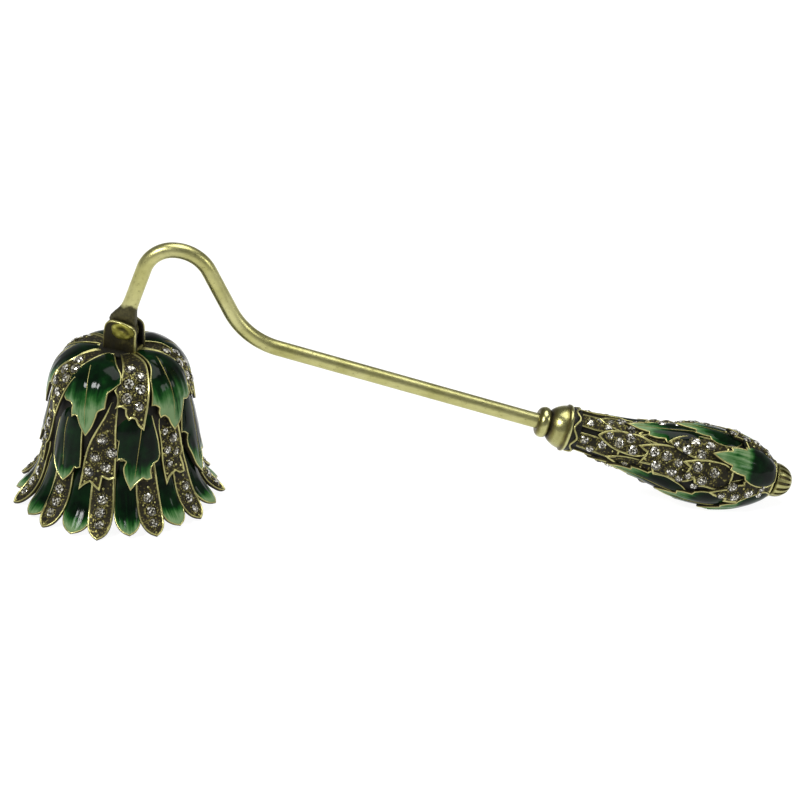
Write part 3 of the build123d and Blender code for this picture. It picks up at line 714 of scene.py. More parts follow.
def dome(o, ax, ay, az, r, height, rows=4, sides=12, sink=0.25):
    """Small bead with a buried foot."""
    verts, faces = [], []
    rr = [(r, -sink)] + [(r * math.cos(k / rows * math.pi / 2), height * math.sin(k / rows * math.pi / 2)) for k in range(rows)]
    for (q, z) in rr:
        for j in range(sides):
            a = 2 * math.pi * j / sides
            verts.append(o + ax * q * math.cos(a) + ay * q * math.sin(a) + az * z)
    m = len(rr)
    for i in range(m - 1):
        for j in range(sides):
            k = (j + 1) % sides
            faces.append((i * sides + j, i * sides + k, (i + 1) * sides + k, (i + 1) * sides + j))
    verts.append(o + az * height)
    top = len(verts) - 1
    for j in range(sides):
        faces.append(((m - 1) * sides + j, (m - 1) * sides + (j + 1) % sides, top))
    faces.append(tuple(range(sides))[::-1])
    return np.array(verts), faces


def cut_stone(o, ax, ay, az, r, rng):
    """Round brilliant: table, star, kite and girdle facets over a pointed back, with a painted reflection brightness
    for each facet.
    """
    spin = rng.uniform(0, math.pi / 4)
    v = []

    def ring(count, rad, z, shift=0.0):
        start = len(v)
        for j in range(count):
            a = 2 * math.pi * (j + shift) / count + spin
            v.append(o + (ax * math.cos(a) + ay * math.sin(a)) * rad * r + az * z * r)
        return start

    centre = len(v)
    v.append(o + az * 0.335 * r)
    inner = ring(8, 0.27, 0.335, 0.5)
    table = ring(8, 0.56, 0.335)
    mid = ring(8, 0.79, 0.20, 0.5)
    gir = ring(16, 1.0, 0.03)
    low = ring(16, 1.0, -0.05)
    back = len(v)
    v.append(o - az * 0.55 * r)
    f, tone = [], []

    def face(*idx, t):
        f.append(tuple(idx))
        tone.append(t)

    # painted reflections: set dark and bright glints for the table facets
    dark = rng.permutation([0.05, 0.12, 0.95, 0.3, 0.08, 0.6, 0.15, 1.0])
    for j in range(8):
        k = (j + 1) % 8
        face(centre, inner + j, inner + k, t=dark[(j * 3) % 8] * 0.8 + 0.05)
        face(table + j, inner + j, inner + (j - 1) % 8, t=float(dark[(j + 2) % 8]))
        face(table + j, table + k, inner + j, t=float(dark[(j + 5) % 8]) * 0.9)
        # crown facets, each with a random painted reflection brightness
        face(table + j, mid + j, table + k, t=float(rng.choice([0.06, 0.22, 0.5, 1.0], p=[0.32, 0.28, 0.2, 0.2])))
        face(table + k, mid + j, gir + (2 * j + 2) % 16, mid + k, t=float(rng.choice([0.08, 0.3, 0.6, 0.95], p=[0.32, 0.3, 0.2, 0.18])))
        face(mid + j, gir + 2 * j, gir + (2 * j + 1) % 16, t=float(rng.choice([0.1, 0.35, 0.6])))
        face(mid + j, gir + (2 * j + 1) % 16, gir + (2 * j + 2) % 16, t=float(rng.choice([0.1, 0.3, 0.65])))
    for j in range(16):
        k = (j + 1) % 16
        face(gir + j, low + j, low + k, gir + k, t=0.2)
        face(low + j, back, low + k, t=0.15)
    return np.array(v), f, tone


class Tier:
    """One visible layer: brass, enamel, stones."""

    def __init__(self, seed):
        self.brass, self.enamel, self.stone = Heap(), Heap(), Heap()
        self.rng = np.random.default_rng(seed)

    def green(self, leaf, thick=1.0, pale=0.7, soft=0.5, rise=0.30, veins=(), flute=0.10, vein_r=0.11, top_tone=0.42):
        d = leaf.d
        ridge = leaf.ridge()
        k = np.clip((d - leaf.rim) / 0.08, 0, 1)
        top = leaf.base + ridge * (1 - k) + (-0.45) * k
        leaf.solid(self.brass, top, leaf.base - thick * (1 - 0.6 * leaf.t ** 2), None, {"worn": leaf.worn()})
        start = leaf.rim * 0.75
        rise_d = rise * (1 - np.exp(-np.clip(d - start, 0, None) / 0.75))
        fold = flute * np.cos(leaf.p[:, 0] * 2 * math.pi / 1.9 + 0.6 * np.sin(leaf.ident)) * np.clip((leaf.t - 0.35) / 0.5, 0, 1) * np.clip((d - 0.4) / 0.7, 0, 1)
        e_top = leaf.base - 0.12 + rise_d + fold
        for path in veins:
            q = np.asarray(path, float)
            seg = np.array([[float(leaf.surf.radius(leaf.surf.w_of(s))) * math.radians(th - leaf.theta), float(leaf.surf.w_of(s))] for th, s in q]) if not isinstance(path, Local) else q
            c = curve2(seg, 10)
            dd = np.sqrt(((leaf.p[:, None, :] - c[None]) ** 2).sum(2)).min(1)
            e_top = e_top - 0.14 * np.exp(-(dd / 0.45) ** 2)
            n = len(c)
            h = np.array([leaf.base_at(a, b) for a, b in c]) - 0.12 + rise - 0.12
            dc, ic = distance(c, leaf.poly)
            pts = leaf.surf.at(leaf.theta + np.degrees(c[:, 0] / leaf.surf.radius(c[:, 1])), c[:, 1], h)
            rad = vein_r * np.clip(np.linspace(1.15, 0.5, n), 0.3, 1.2)
            rad[0] *= 0.4
            rad[-1] *= 0.4
            vv, ff = tube(pts, rad, 8)
            self.brass.add(vv, ff, {"worn": 0.68})
        leaf.solid(self.enamel, e_top, leaf.base - 0.42, d >= start - 0.01,
                   {"leaf_x": leaf.x, "leaf_t": leaf.t, "leaf_edge": d, "leaf_pale": np.full_like(d, pale),
                    "leaf_soft": np.full_like(d, soft), "leaf_top": np.full_like(d, top_tone), "leaf_id": np.full_like(d, float(leaf.ident))})

    def jewel(self, leaf, thick=1.0, beads=(), stones=None, pits=True):
        d = leaf.d
        ridge = leaf.ridge()
        k = np.clip((d - leaf.rim) / 0.14, 0, 1)
        grain = self.rng.random(len(d))
        floor = -0.30 + 0.07 * grain
        # random grain gives the floor's uneven wear; the brightest specks are partly rubbed brass and partly painted
        # glints
        worn = leaf.worn(0.0) + np.where(d > leaf.rim, 0.02 + 0.26 * grain + 0.34 * (grain > 0.88), 0.0)
        near = np.full_like(d, 9.0)
        for sx, sy, r in leaf.spots:
            q = np.hypot(leaf.p[:, 0] - sx, leaf.p[:, 1] - sy) / r
            near = np.minimum(near, q)
            collar = np.exp(-((q - 1.15) / 0.09) ** 2) * 0.20
            floor = floor + collar * (q < 1.4)
            floor = np.where(q < 1.0, -0.62, floor)
            worn = np.where((q < 1.35) & (d > leaf.rim), np.maximum(worn, 0.66 * np.exp(-((q - 1.17) / 0.07) ** 2)), worn)
            worn = np.where(q < 1.08, 0.0, worn)
        top = leaf.base + ridge * (1 - k) + floor * k
        leaf.solid(self.brass, top, leaf.base - np.maximum(thick * (1 - 0.6 * leaf.t ** 2), 0.66 + 0.14 * (near < 1.5)), None, {"worn": worn})
        for sx, sy, r in leaf.spots:
            th = leaf.theta + math.degrees(sx / float(leaf.surf.radius(sy)))
            o, ax, ay, az = local_frame(leaf.surf, th, sy, leaf.base_at(sx, sy) - 0.13)
            # a little out of true, as hand-set stones are
            tip = self.rng.normal(0, 0.05, 2)
            az2 = az + ax * tip[0] + ay * tip[1]
            az2 /= np.linalg.norm(az2)
            ax2 = ax - az2 * ax.dot(az2)
            ax2 /= np.linalg.norm(ax2)
            v, f, tone = cut_stone(o, ax2, np.cross(az2, ax2), az2, r, self.rng)
            # each facet carries its painted reflection brightness
            self.stone.add(v, f, None, {"tone": tone})
            for q in range(4):
                a = math.pi / 4 + q * math.pi / 2 + self.rng.uniform(-0.3, 0.3)
                px, py = sx + 1.12 * r * math.cos(a), sy + 1.12 * r * math.sin(a)
                dist, ins = distance(np.array([[px, py]]), leaf.poly)
                if ins[0] and dist[0] > 0.35:
                    th2 = leaf.theta + math.degrees(px / float(leaf.surf.radius(py)))
                    o2, bx, by, bz = local_frame(leaf.surf, th2, py, leaf.base_at(px, py) - 0.10)
                    vv, ff = dome(o2, bx, by, bz, 0.2, 0.18, 3, 8)
                    self.brass.add(vv, ff, {"worn": 0.72})
        for bx_, by_, br in beads:
            th = leaf.theta + math.degrees(bx_ / float(leaf.surf.radius(by_)))
            o, ax, ay, az = local_frame(leaf.surf, th, by_, leaf.base_at(bx_, by_) - 0.26)
            vv, ff = dome(o, ax, ay, az, br, br * 0.9, 4, 12)
            self.brass.add(vv, ff, {"worn": 0.85})


class Local(list):
    """Vein path already in the leaf's own millimetres."""


def on(surf, theta, spots, r):
    """Stone or bead places from (azimuth, axial place) to a leaf's own millimetres."""
    out = []
    for s in spots:
        w = float(surf.w_of(s[1]))
        out.append((float(surf.radius(w)) * math.radians(s[0] - theta), w, s[2] if len(s) > 2 else r))
    return out


def turned_by(points, d, mirror_about=None):
    """Same shape elsewhere round the axis."""
    out = []
    for p in points:
        th = p[0] if mirror_about is None else 2 * mirror_about - p[0]
        out.append((th + d, *p[1:]))
    return out


# ------------------------------------------------------------------ bell: outlines traced on the surface, (azimuth, height, corner)
UG1 = [(-36, 37.24, 1), (-46, 35.9), (-53, 34.0), (-55, 31.6), (-52.5, 29.6), (-46.5, 28.5, 1), (-41, 28.6), (-38.6, 28.1, 1), (-38.6, 27.0), (-37.4, 25.5, 1),
       (-34.2, 26.2), (-32.2, 26.0, 1), (-29.4, 24.3), (-23.7, 22.1, 1), (-19.4, 24.3), (-16.4, 26.8, 1), (-15.2, 28.0), (-9.8, 28.9, 1),
       (-9.4, 30.3), (-8.3, 32.0, 1), (-3.4, 32.8), (2.8, 33.7, 1), (3.4, 34.9), (-2.5, 36.2), (-14, 37.24, 1)]
UG2 = [(50, 37.24, 1), (40, 35.6), (31.6, 33.6), (29.6, 31.0), (27.8, 28.8, 1), (31.5, 28.7), (34.4, 28.1, 1), (33.6, 27.0), (34.7, 25.7, 1), (38.0, 26.0),
       (41.1, 25.2, 1), (42.6, 23.9), (45.8, 22.1, 1), (51.4, 23.4), (56.4, 25.6), (60.6, 27.8, 1), (65, 27.4), (71.8, 27.9, 1), (72.6, 29.6), (75.6, 31.0, 1),
       (79.6, 32.3), (81.2, 34.0, 1), (79.0, 35.6), (72, 37.24, 1)]
UC1 = [(2, 37.24, 1), (3.5, 35.2), (-1.0, 33.9), (-3.7, 32.5, 1), (-0.9, 31.2), (-1.2, 29.9), (-3.1, 28.7, 1), (1.6, 29.3), (5.5, 28.9, 1), (5.8, 27.6),
       (8.4, 26.3, 1), (10.9, 26.8), (13.2, 26.6, 1), (15.4, 25.0), (19.6, 23.8, 1), (21.6, 26.3), (24.6, 29.3), (28.4, 32.4), (33.4, 34.8), (38.4, 36.1), (40, 37.24, 1)]
MGL = [(-48, 30.6, 1), (-53.4, 26.5), (-57.4, 22.8), (-58.8, 18.0), (-55.4, 14.3), (-48.2, 11.7), (-39.8, 10.1, 1), (-34.4, 12.1), (-31.8, 13.9, 1), (-30.2, 13.8), (-27.4, 14.2, 1), (-27.6, 16.6),
       (-28.6, 20.5), (-30, 26.5), (-36, 30.6, 1)]
MCL = [(-6, 30.0, 1), (-12, 26.4), (-17.6, 23.4), (-22.4, 20.4), (-25.4, 17.0), (-26.6, 13.0), (-27.9, 8.8, 1), (-23.4, 10.4), (-19.3, 11.4, 1), (-15.4, 10.5), (-11.7, 9.7, 1),
       (-10.9, 11.4), (-10.2, 12.9, 1), (-6.0, 12.4), (-1.1, 12.8, 1), (-1.0, 15.6), (-0.6, 18.4), (-1.0, 22.4), (-0.4, 26.2), (1, 30.0, 1)]
MGC = [(10, 30.4, 1), (3.4, 27.4), (-1.6, 25.6), (-5.4, 23.6), (-6.0, 21.2, 1), (-2.4, 21.5), (0.5, 20.9, 1), (-0.5, 19.0), (-0.9, 16.4, 1), (2.8, 17.0), (6.0, 16.5, 1), (4.2, 15.1),
       (5.2, 12.9), (9.0, 9.9, 1), (13.6, 11.5), (18.2, 12.5, 1), (21, 12.0), (25.0, 12.2, 1), (25.0, 14.4), (27.4, 15.4, 1), (31.4, 15.9), (33.6, 17.2, 1),
       (33.4, 20.2), (31.4, 24.0), (29.4, 27.4), (24, 30.4, 1)]
MCR = [(40, 30.4, 1), (36.6, 26.6), (35.2, 23.7), (35.6, 19.5), (35.2, 15.0), (36.4, 9.5, 1), (40.2, 11.4), (44.8, 12.2, 1), (48.4, 11.4), (53.4, 11.2, 1), (53.4, 13.0), (52.2, 15.1, 1),
       (55.2, 16.6), (56.2, 20.0), (55.2, 24.0), (53.6, 27.0), (50, 30.4, 1)]
MGR = [(76, 30.8, 1), (70.4, 27.6), (65.6, 25.2), (62.2, 22.6), (60.0, 19.7, 1), (63.2, 19.5), (66.3, 18.7, 1), (64.6, 17.6), (64.6, 15.9, 1), (67.0, 14.0), (70.0, 10.8), (75.6, 8.0, 1),
       (80.6, 10.4), (84.6, 12.6, 1), (88.0, 11.8), (91.4, 12.2, 1), (91.2, 14.6), (93.6, 16.0, 1), (97.0, 17.2), (97.6, 21.2), (94.6, 25.4), (92, 28.0), (86, 30.8, 1)]

ST_UC1 = [(14.3, 35.6), (22.6, 34.5), (9.9, 33.6), (19.8, 32.6), (7.6, 31.1), (16.8, 29.3, 1.05)]
BD_UC1 = [(1.8, 32.3, 0.33), (14.3, 31.6, 0.30), (22.6, 30.4, 0.33), (12.6, 27.6, 0.34), (18.0, 26.4, 0.3), (19.2, 25.2, 0.24), (4.4, 29.6, 0.26)]
ST_MCL = [(-11.6, 21.4), (-4.2, 18.5), (-16.6, 17.1), (-8.3, 15.2), (-20.8, 13.6)]
BD_MCL = [(-19.9, 18.9, 0.33), (-23.4, 15.6, 0.33), (-14.9, 12.4, 0.36), (-23.4, 11.2, 0.33), (-13.9, 14.2, 0.28), (-8.0, 23.4, 0.3), (-3.8, 13.9, 0.26)]
ST_MCR = [(41.0, 21.8, 0.86), (47.2, 19.8), (40.6, 17.5, 0.94), (48.0, 16.6, 0.94), (41.2, 14.3, 0.9)]
BD_MCR = [(50.4, 13.0, 0.33), (38.2, 12.2, 0.26), (46.2, 13.6, 0.28), (38.4, 19.6, 0.26), (46.2, 22.4, 0.28)]

upper, middle, rim_tier = Tier(11), Tier(12), Tier(13)

# upper layer: five green and five stone leaves, each one's right side lying over the next
UG_PALE = {0: (0.62, 0.33), 1: (0.64, 0.33), 2: (0.65, 0.4), 3: (0.65, 0.36), 4: (0.66, 0.4)}
for i in range(5):
    src = UG2 if i in (1, 3) else UG1
    own = 54.0 if i in (1, 3) else -24.0
    at = (-24.0, 54.0, 122.0, 194.0, 266.0)[i]
    pts = turned_by(src, at - own)
    leaf = Leaf(UPPER, at, pts, root_w=0.0).place(lift=(0.1, 0.1, 0.5, -0.1, -0.4)[i], tilt=0.08 if i == 4 else 0.30, curl=(0.4, 0.4, 0.2, 0.3, -0.1)[i], crown=0.45, root_drop=1.1)
    mid = [(-36, 35.6), (-29.6, 33.7), (-26.5, 31.0), (-25.9, 27.8), (-24.4, 24.3)] if own < 0 else [(60.6, 36.1), (51.0, 34.2), (48.9, 31.1), (48.0, 27.9), (46.4, 24.6)]
    upper.green(leaf, thick=1.3, pale=UG_PALE[i][0], soft=UG_PALE[i][1], veins=[turned_by(mid, at - own)])
for i in range(5):
    at = (18.0, 90.0, 160.0, 232.0, 304.0)[i]
    pts = turned_by(UC1, at - 18.0)
    leaf = Leaf(UPPER, at, pts, root_w=0.0, spots=on(UPPER, at, turned_by(ST_UC1, at - 18.0), 1.19)).place(lift=(0.15, 0.3, 0.3, -0.1, 0.0)[i], tilt=0.32, curl=(0.4, -0.1, 0.3, 0.3, 0.4)[i], crown=0.35, root_drop=1.1)
    upper.jewel(leaf, thick=1.3, beads=on(UPPER, at, turned_by(BD_UC1, at - 18.0), 0.3))

# middle layer
M_GREEN = [(MGC, 13.0, 13.0, [(19.6, 24.6), (17.6, 21.5), (15.2, 17.9), (12.2, 12.8)]),
           (MGR, 78.0, 76.0, [(82, 25.2), (80, 21), (77.5, 15.5), (76.2, 11.0)]),
           (MGC, 13.0, 134.0, None), (MGR, 78.0, 196.0, None), (MGC, 13.0, 254.0, None),
           (MGL, -44.0, -44.0, [(-44.5, 24.6), (-45.3, 21.5), (-43.4, 17.1), (-41.6, 13.6)])]
for n, (src, own, at, mid) in enumerate(M_GREEN):
    if mid is None:
        mid = [(19.6, 24.6), (17.6, 21.5), (15.2, 17.9), (12.2, 12.8)] if src is MGC else [(82, 25.2), (80, 21), (77.5, 15.5), (76.2, 11.0)]
    leaf = Leaf(MIDDLE, at, turned_by(src, at - own), root_w=float(MIDDLE.w_of(26.8))).place(lift=(-0.25, 0.3, -0.25, -0.25, -0.6, -0.25)[n], tilt=0.30, curl=0.55, crown=0.45, root_drop=0.6)
    middle.green(leaf, thick=1.6, pale=(0.77, 0.74, 0.76, 0.76, 0.76, 0.9)[n], soft=0.32, veins=[turned_by(mid, at - own)])
M_STONE = [(MCL, -14.0, -14.0, ST_MCL, BD_MCL), (MCR, 45.0, 45.0, ST_MCR, BD_MCR), (MCL, -14.0, 105.0, ST_MCL, BD_MCL), (MCR, 45.0, 165.0, ST_MCR, BD_MCR),
           (MCL, -14.0, 225.0, ST_MCL, BD_MCL), (MCR, 45.0, 284.0, ST_MCR, BD_MCR)]
for src, own, at, st, bd in M_STONE:
    leaf = Leaf(MIDDLE, at, turned_by(src, at - own), spots=on(MIDDLE, at, turned_by(st, at - own), 1.19)).place(lift=-0.6 if at == 284.0 else -0.2, tilt=0.3, curl=0.6, crown=0.3, root_drop=0.6)
    middle.jewel(leaf, thick=1.6, beads=on(MIDDLE, at, turned_by(bd, at - own), 0.3))

# rim petals
RC_T = [-74.0, -42.6, -10.4, 21.8, 53.2, 87.4, 119.6, 152.0, 186.5, 219.5, 252.5]
RG_T = [-88.6, -55.6, -25.4, 6.9, 38.0, 70.6, 103.4, 136.2, 169.6, 203.0, 236.2]
RG_HALF = [3.0, 3.3, 3.6, 3.0, 3.15, 3.1, 3.0, 3.0, 3.1, 3.0, 3.1]


def petal(at, wide, w_tip, lean, rng):
    """Lance petal in its own millimetres: widest two thirds of the way down."""
    w0 = 1.0
    rows = [(0.0, 0.80), (0.3, 0.92), (0.55, 1.0), (0.76, 1.0), (0.885, 0.80), (0.955, 0.46)]
    left = [(-wide * k + lean * f * f, w0 + (w_tip - w0) * f) for f, k in rows]
    right = [(wide * k + lean * f * f, w0 + (w_tip - w0) * f) for f, k in rows]
    j = rng.uniform(-0.12, 0.12, 4)
    left[3] = (left[3][0] + j[0], left[3][1] + j[1])
    right[3] = (right[3][0] + j[2], right[3][1] + j[3])
    return [(*left[0], 1)] + left[1:] + [(lean, w_tip, 1)] + right[:0:-1] + [(*right[0], 1)]


rng = np.random.default_rng(5)
for n, at in enumerate(RG_T):
    w_tip = RIM.length - (0.55, -0.35, -0.25, 0.3, 0.75, 0.55, 0.55, 0.55, 0.55, 0.55, 0.55)[n] + rng.uniform(-0.15, 0.15)
    leaf = Leaf(RIM, at, petal(at, RG_HALF[n], w_tip, rng.uniform(-0.2, 0.2), rng), local=True, spacing=0.26).place(lift=-1.0 if n in (0, 6) else -0.6, curl=0.35, crown=0.5)
    rim_tier.green(leaf, thick=1.0, pale=0.82 + rng.uniform(-0.04, 0.04), soft=0.24, rise=0.32, flute=0.06)
for n, at in enumerate(RC_T):
    w_tip = RIM.length + rng.uniform(-0.05, 0.1) + (0.9, 1.0, 0.75, 0.4, -0.2, 0.25, 0.0, 0.0, 0.0, 0.0, 0.0)[n]
    lean = rng.uniform(-0.3, 0.3)
    spots = [(0.15 * (-1) ** n + lean * 0.3, float(RIM.w_of(7.7)), 1.17), (0.1 * (-1) ** (n + 1) + lean * 0.5, float(RIM.w_of(5.05)), 1.17),
             (lean * 0.8, float(RIM.w_of(2.95)), 1.04)]
    beads = [(lean * 0.9, w_tip - 0.95, 0.26), (0.2, float(RIM.w_of(10.0)), 0.3), (-1.4, float(RIM.w_of(6.3)), 0.22), (1.4, float(RIM.w_of(6.5)), 0.22)]
    leaf = Leaf(RIM, at, petal(at, 2.85 if n in (1, 2, 3, 4) else 2.6, w_tip, lean, rng), local=True, spacing=0.26, spots=spots).place(lift=-0.35 if n == 10 else 0.05, curl=0.3 if n == 5 else -0.1, crown=0.3)
    rim_tier.jewel(leaf, thick=1.15, beads=beads)


# bell shell
def revolve(profile, basis, segments=144, close=True):
    """Closed ring mesh from a closed (r, a) profile."""
    o, z, x, y = (np.asarray(v, float) for v in basis)
    p = np.asarray(profile, float)
    n = len(p)
    verts, faces = [], []
    for j in range(segments):
        a = 2 * math.pi * j / segments
        rad = x * math.cos(a) + y * math.sin(a)
        verts.append(o + rad * p[:, :1] + z * p[:, 1:])
    verts = np.vstack(verts)
    for j in range(segments):
        k = (j + 1) % segments
        for i in range(n if close else n - 1):
            m = (i + 1) % n
            faces.append((j * n + i, j * n + m, k * n + m, k * n + i))
    return verts, faces


outer = curve2([(1.55, 35.7), (6.0, 35.7), (8.8, 35.25), (11.2, 33.9), (13.0, 32.0), (14.3, 29.6), (15.15, 26.0), (15.75, 21.0), (16.3, 15.0), (16.8, 11.5), (17.3, 9.0), (17.6, 7.3)], 6)
inner = np.vstack([curve2([(17.3, 7.0), (16.2, 8.2), (14.6, 10.9)], 5), curve2([(14.2, 11.5), (14.2, 17.0), (14.2, 24.0)], 3),
                   curve2([(14.2, 24.0), (13.5, 28.2), (12.0, 31.2), (9.6, 33.3), (6.2, 34.25), (1.55, 34.25)], 6)[1:]])
sv, sf = revolve(np.vstack([outer, inner]), BELL)
middle.brass.add(sv, sf, {"worn": np.tile(np.r_[np.full(len(outer), 0.02), np.full(len(inner), 0.3)], 144)})

bell_brass = Heap()
for tier in (upper, middle, rim_tier):
    off = 0
    for k in range(len(tier.brass.v)):
        pass
    bell_brass.v += tier.brass.v
    bell_brass.f += [tuple(i + bell_brass.n for i in f) for f in tier.brass.f]
    bell_brass.a.setdefault("worn", []).extend(tier.brass.a["worn"])
    bell_brass.n += tier.brass.n
piece = bell_brass.make("bell_leafwork", "bell", "antique_brass", ANTIQUE, angle=50)
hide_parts("bell_casting")
for tier, name in ((upper, "upper"), (middle, "middle"), (rim_tier, "rim")):
    piece = tier.enamel.make("bell_glaze_" + name, "bell", "green_enamel", ENAMEL, angle=60)
    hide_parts("bell_enamel_" + name)
    piece = tier.stone.make("bell_stones_" + name, "bell", "crystal", STONE, smooth=False)
    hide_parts("bell_crystals_" + name)

# ------------------------------------------------------------------ handle leaves


def lobed(surf, theta, root, tip, half, kind="acanthus", flip=1, lean=0.0):
    """Leaf in its own millimetres from a root to a tip place, half its width wide."""
    w0, w1 = float(surf.w_of(root)), float(surf.w_of(tip))
    if w1 < w0:
        w0, w1 = w1, w0
    shapes = {
        "acanthus": [(-0.45, 0.0, 1), (-0.85, 0.12), (-1.0, 0.30), (-0.96, 0.47), (-0.80, 0.55, 1), (-0.66, 0.54, 1), (-0.64, 0.66), (-0.52, 0.76, 1), (-0.38, 0.74, 1),
                     (-0.24, 0.86), (0.0, 1.0, 1), (0.24, 0.85), (0.36, 0.72, 1), (0.56, 0.73, 1), (0.66, 0.62), (0.68, 0.52, 1), (0.84, 0.50, 1), (0.98, 0.40),
                     (1.0, 0.26), (0.82, 0.10), (0.45, 0.0, 1)],
        "smooth": [(-0.5, 0.0, 1), (-0.9, 0.16), (-1.0, 0.40), (-0.84, 0.66), (-0.45, 0.88), (0.0, 1.0, 1), (0.42, 0.86), (0.82, 0.64), (1.0, 0.38), (0.88, 0.14), (0.5, 0.0, 1)],
        "strap": [(-0.6, 0.0, 1), (-0.95, 0.2), (-1.0, 0.5), (-0.92, 0.8), (-0.86, 1.0, 1), (0.86, 1.0, 1), (0.92, 0.8), (1.0, 0.5), (0.95, 0.2), (0.6, 0.0, 1)],
        "forked": [(-0.55, 0.0, 1), (-0.92, 0.16), (-1.0, 0.38), (-0.90, 0.62), (-0.66, 0.84), (-0.42, 1.0, 1), (-0.18, 0.84, 1), (0.14, 0.88), (0.46, 0.92, 1), (0.42, 0.72, 1),
                   (0.72, 0.68), (1.0, 0.64, 1), (0.90, 0.46), (0.98, 0.30), (0.86, 0.12), (0.55, 0.0, 1)],
    }
    return [((x * flip) * half + lean * t * t, w0 + (w1 - w0) * t, *c) for x, t, *c in shapes[kind]], w0, w1


def spot(leaf_w0, leaf_w1, half, x, t, r=1.0, flip=1, lean=0.0):
    return (x * flip * half + lean * t * t, leaf_w0 + (leaf_w1 - leaf_w0) * t, r)


rear, mid_h, front = Tier(21), Tier(22), Tier(23)


def hand_green(tier, theta, root, tip, half, kind="acanthus", flip=1, lean=0.0, lift=0.0, tilt=0.0, curl=0.5, crown=0.4, pale=0.6, soft=0.5, rise=0.3, flute=0.1, vein=True, top_tone=0.42):
    pts, w0, w1 = lobed(GRIP, theta, root, tip, half, kind, flip, lean)
    leaf = Leaf(GRIP, theta, pts, rim=0.41, local=True, root_w=w0, tip_w=w1).place(lift=lift, tilt=tilt, curl=curl, crown=crown, root_drop=0.4)
    veins = [Local([(lean * t * t + 0.15 * half * math.sin(t * 2.4) * flip * (1 - t), w0 + (w1 - w0) * t) for t in (0.12, 0.35, 0.6, 0.86)])] if vein else []
    tier.green(leaf, thick=1.4, pale=pale, soft=soft, rise=rise, flute=flute, veins=veins, vein_r=0.12, top_tone=top_tone)


def hand_stones(tier, theta, root, tip, half, spots, kind="acanthus", flip=1, lean=0.0, lift=0.0, tilt=0.0, curl=0.5, crown=0.3, beads=()):
    """spots are (azimuth, axial place, radius)."""
    pts, w0, w1 = lobed(GRIP, theta, root, tip, half, kind, flip, lean)
    leaf = Leaf(GRIP, theta, pts, rim=0.41, local=True, root_w=w0, tip_w=w1, spots=on(GRIP, theta, spots, 1.15)).place(lift=lift, tilt=tilt, curl=curl, crown=crown, root_drop=0.4)
    tier.jewel(leaf, thick=1.4, beads=on(GRIP, theta, beads, 0.3))


# rear layer, nearest the cap
for n, (th, flip) in enumerate(((-43, 1), (56, -1), (139, 1), (227, -1))):
    hand_green(rear, th, 57.3, 39.4 if n == 0 else 41.0, 4.9 if n == 0 else 4.7, "acanthus", flip, lift=-0.05, curl=0.35, crown=0.35, pale=0.485, soft=0.15, rise=0.34, flute=0.20, vein=False, top_tone=0.20)
REAR_ST = [(-14, 46.4), (3, 44.6, 0.9), (5, 48.0), (-2, 51.0), (7, 54.0, 0.86), (-10, 54.2, 0.8)]
for n, (th, flip) in enumerate(((13, 1), (96, 1), (183, -1), (268, 1))):
    st = [(th + (a if flip > 0 else -a), s, *r) for a, s, *r in REAR_ST]
    hand_stones(rear, th, 57.3, 43.4 if n == 3 else 41.0, 4.4 if n == 0 else 3.9, st, "forked" if n % 2 else "acanthus", flip, lift=0.12 if n == 3 else -0.15, curl=0.35, crown=0.25,
                beads=[(th + 4 * flip, 42.8, 0.28), (th - 12, 49.4, 0.28), (th + 14, 50.0, 0.26)])

# middle layer
for n, (th, root, tip, half, flip, pale) in enumerate(((-92, 47.5, 31.0, 4.9, 1, 0.62), (49, 47.0, 30.0, 5.3, -1, 0.6), (122, 47.0, 32.0, 4.2, 1, 0.6), (208, 47.0, 32.0, 4.2, -1, 0.6))):
    hand_green(mid_h, th, root, tip, half, "acanthus", flip, lift=-0.45, curl=0.5, crown=0.3, pale=pale, soft=0.5)
MID_A = [(-8, 37.0), (-5, 41.2), (10, 38.9), (23, 37.7, 0.9), (8, 35.4, 0.8)]
for n, (th, flip) in enumerate(((-12, 1), (92, 1), (170, -1), (241, 1))):
    st = [(th + (a if flip > 0 else -a), s, *r) for a, s, *r in MID_A]
    hand_stones(mid_h, th, 46.0, 33.2, 3.7, st, "forked", flip, lift=-0.3, curl=0.4, crown=0.3,
                beads=[(th - 8 * flip, 34.8, 0.28), (th - 16 * flip, 39.6, 0.28), (th + 2 * flip, 33.9, 0.22)])
hand_stones(mid_h, -50, 44.0, 29.4, 3.3, [(-42, 33.9), (-57, 35.6), (-39, 37.4), (-55, 39.2), (-47, 31.4, 0.8)], "smooth", 1, lift=-0.45, curl=0.4, crown=0.3)
for n, (th, root, tip, half, flip, pale) in enumerate(((-79, 38.5, 19.6, 4.8, 1, 0.66), (40, 37.0, 17.6, 3.9, -1, 0.68), (155, 37.5, 20.0, 4.4, 1, 0.66), (216, 37.0, 19.0, 3.8, -1, 0.66))):
    hand_green(mid_h, th, root, tip, half, "acanthus", flip, lift=-0.55, curl=0.5, crown=0.3, pale=pale, soft=0.5)
MID_B = [(-12, 26.8), (-10, 29.7), (-4, 32.6, 0.95), (11, 28.0), (13, 31.7), (22, 33.9, 0.9)]
for n, (th, flip) in enumerate(((-14, 1), (96, -1), (186, 1), (254, 1))):
    st = [(th + (a if flip > 0 else -a), s, *r) for a, s, *r in MID_B]
    hand_stones(mid_h, th, 37.4, 22.8, 4.4 if n == 0 else 3.8, st, "forked", flip, lift=-0.5, curl=0.5, crown=0.35,
                beads=[(th - 12 * flip, 24.4, 0.28), (th + 6 * flip, 25.2, 0.28), (th + 1 * flip, 30.0, 0.24)])

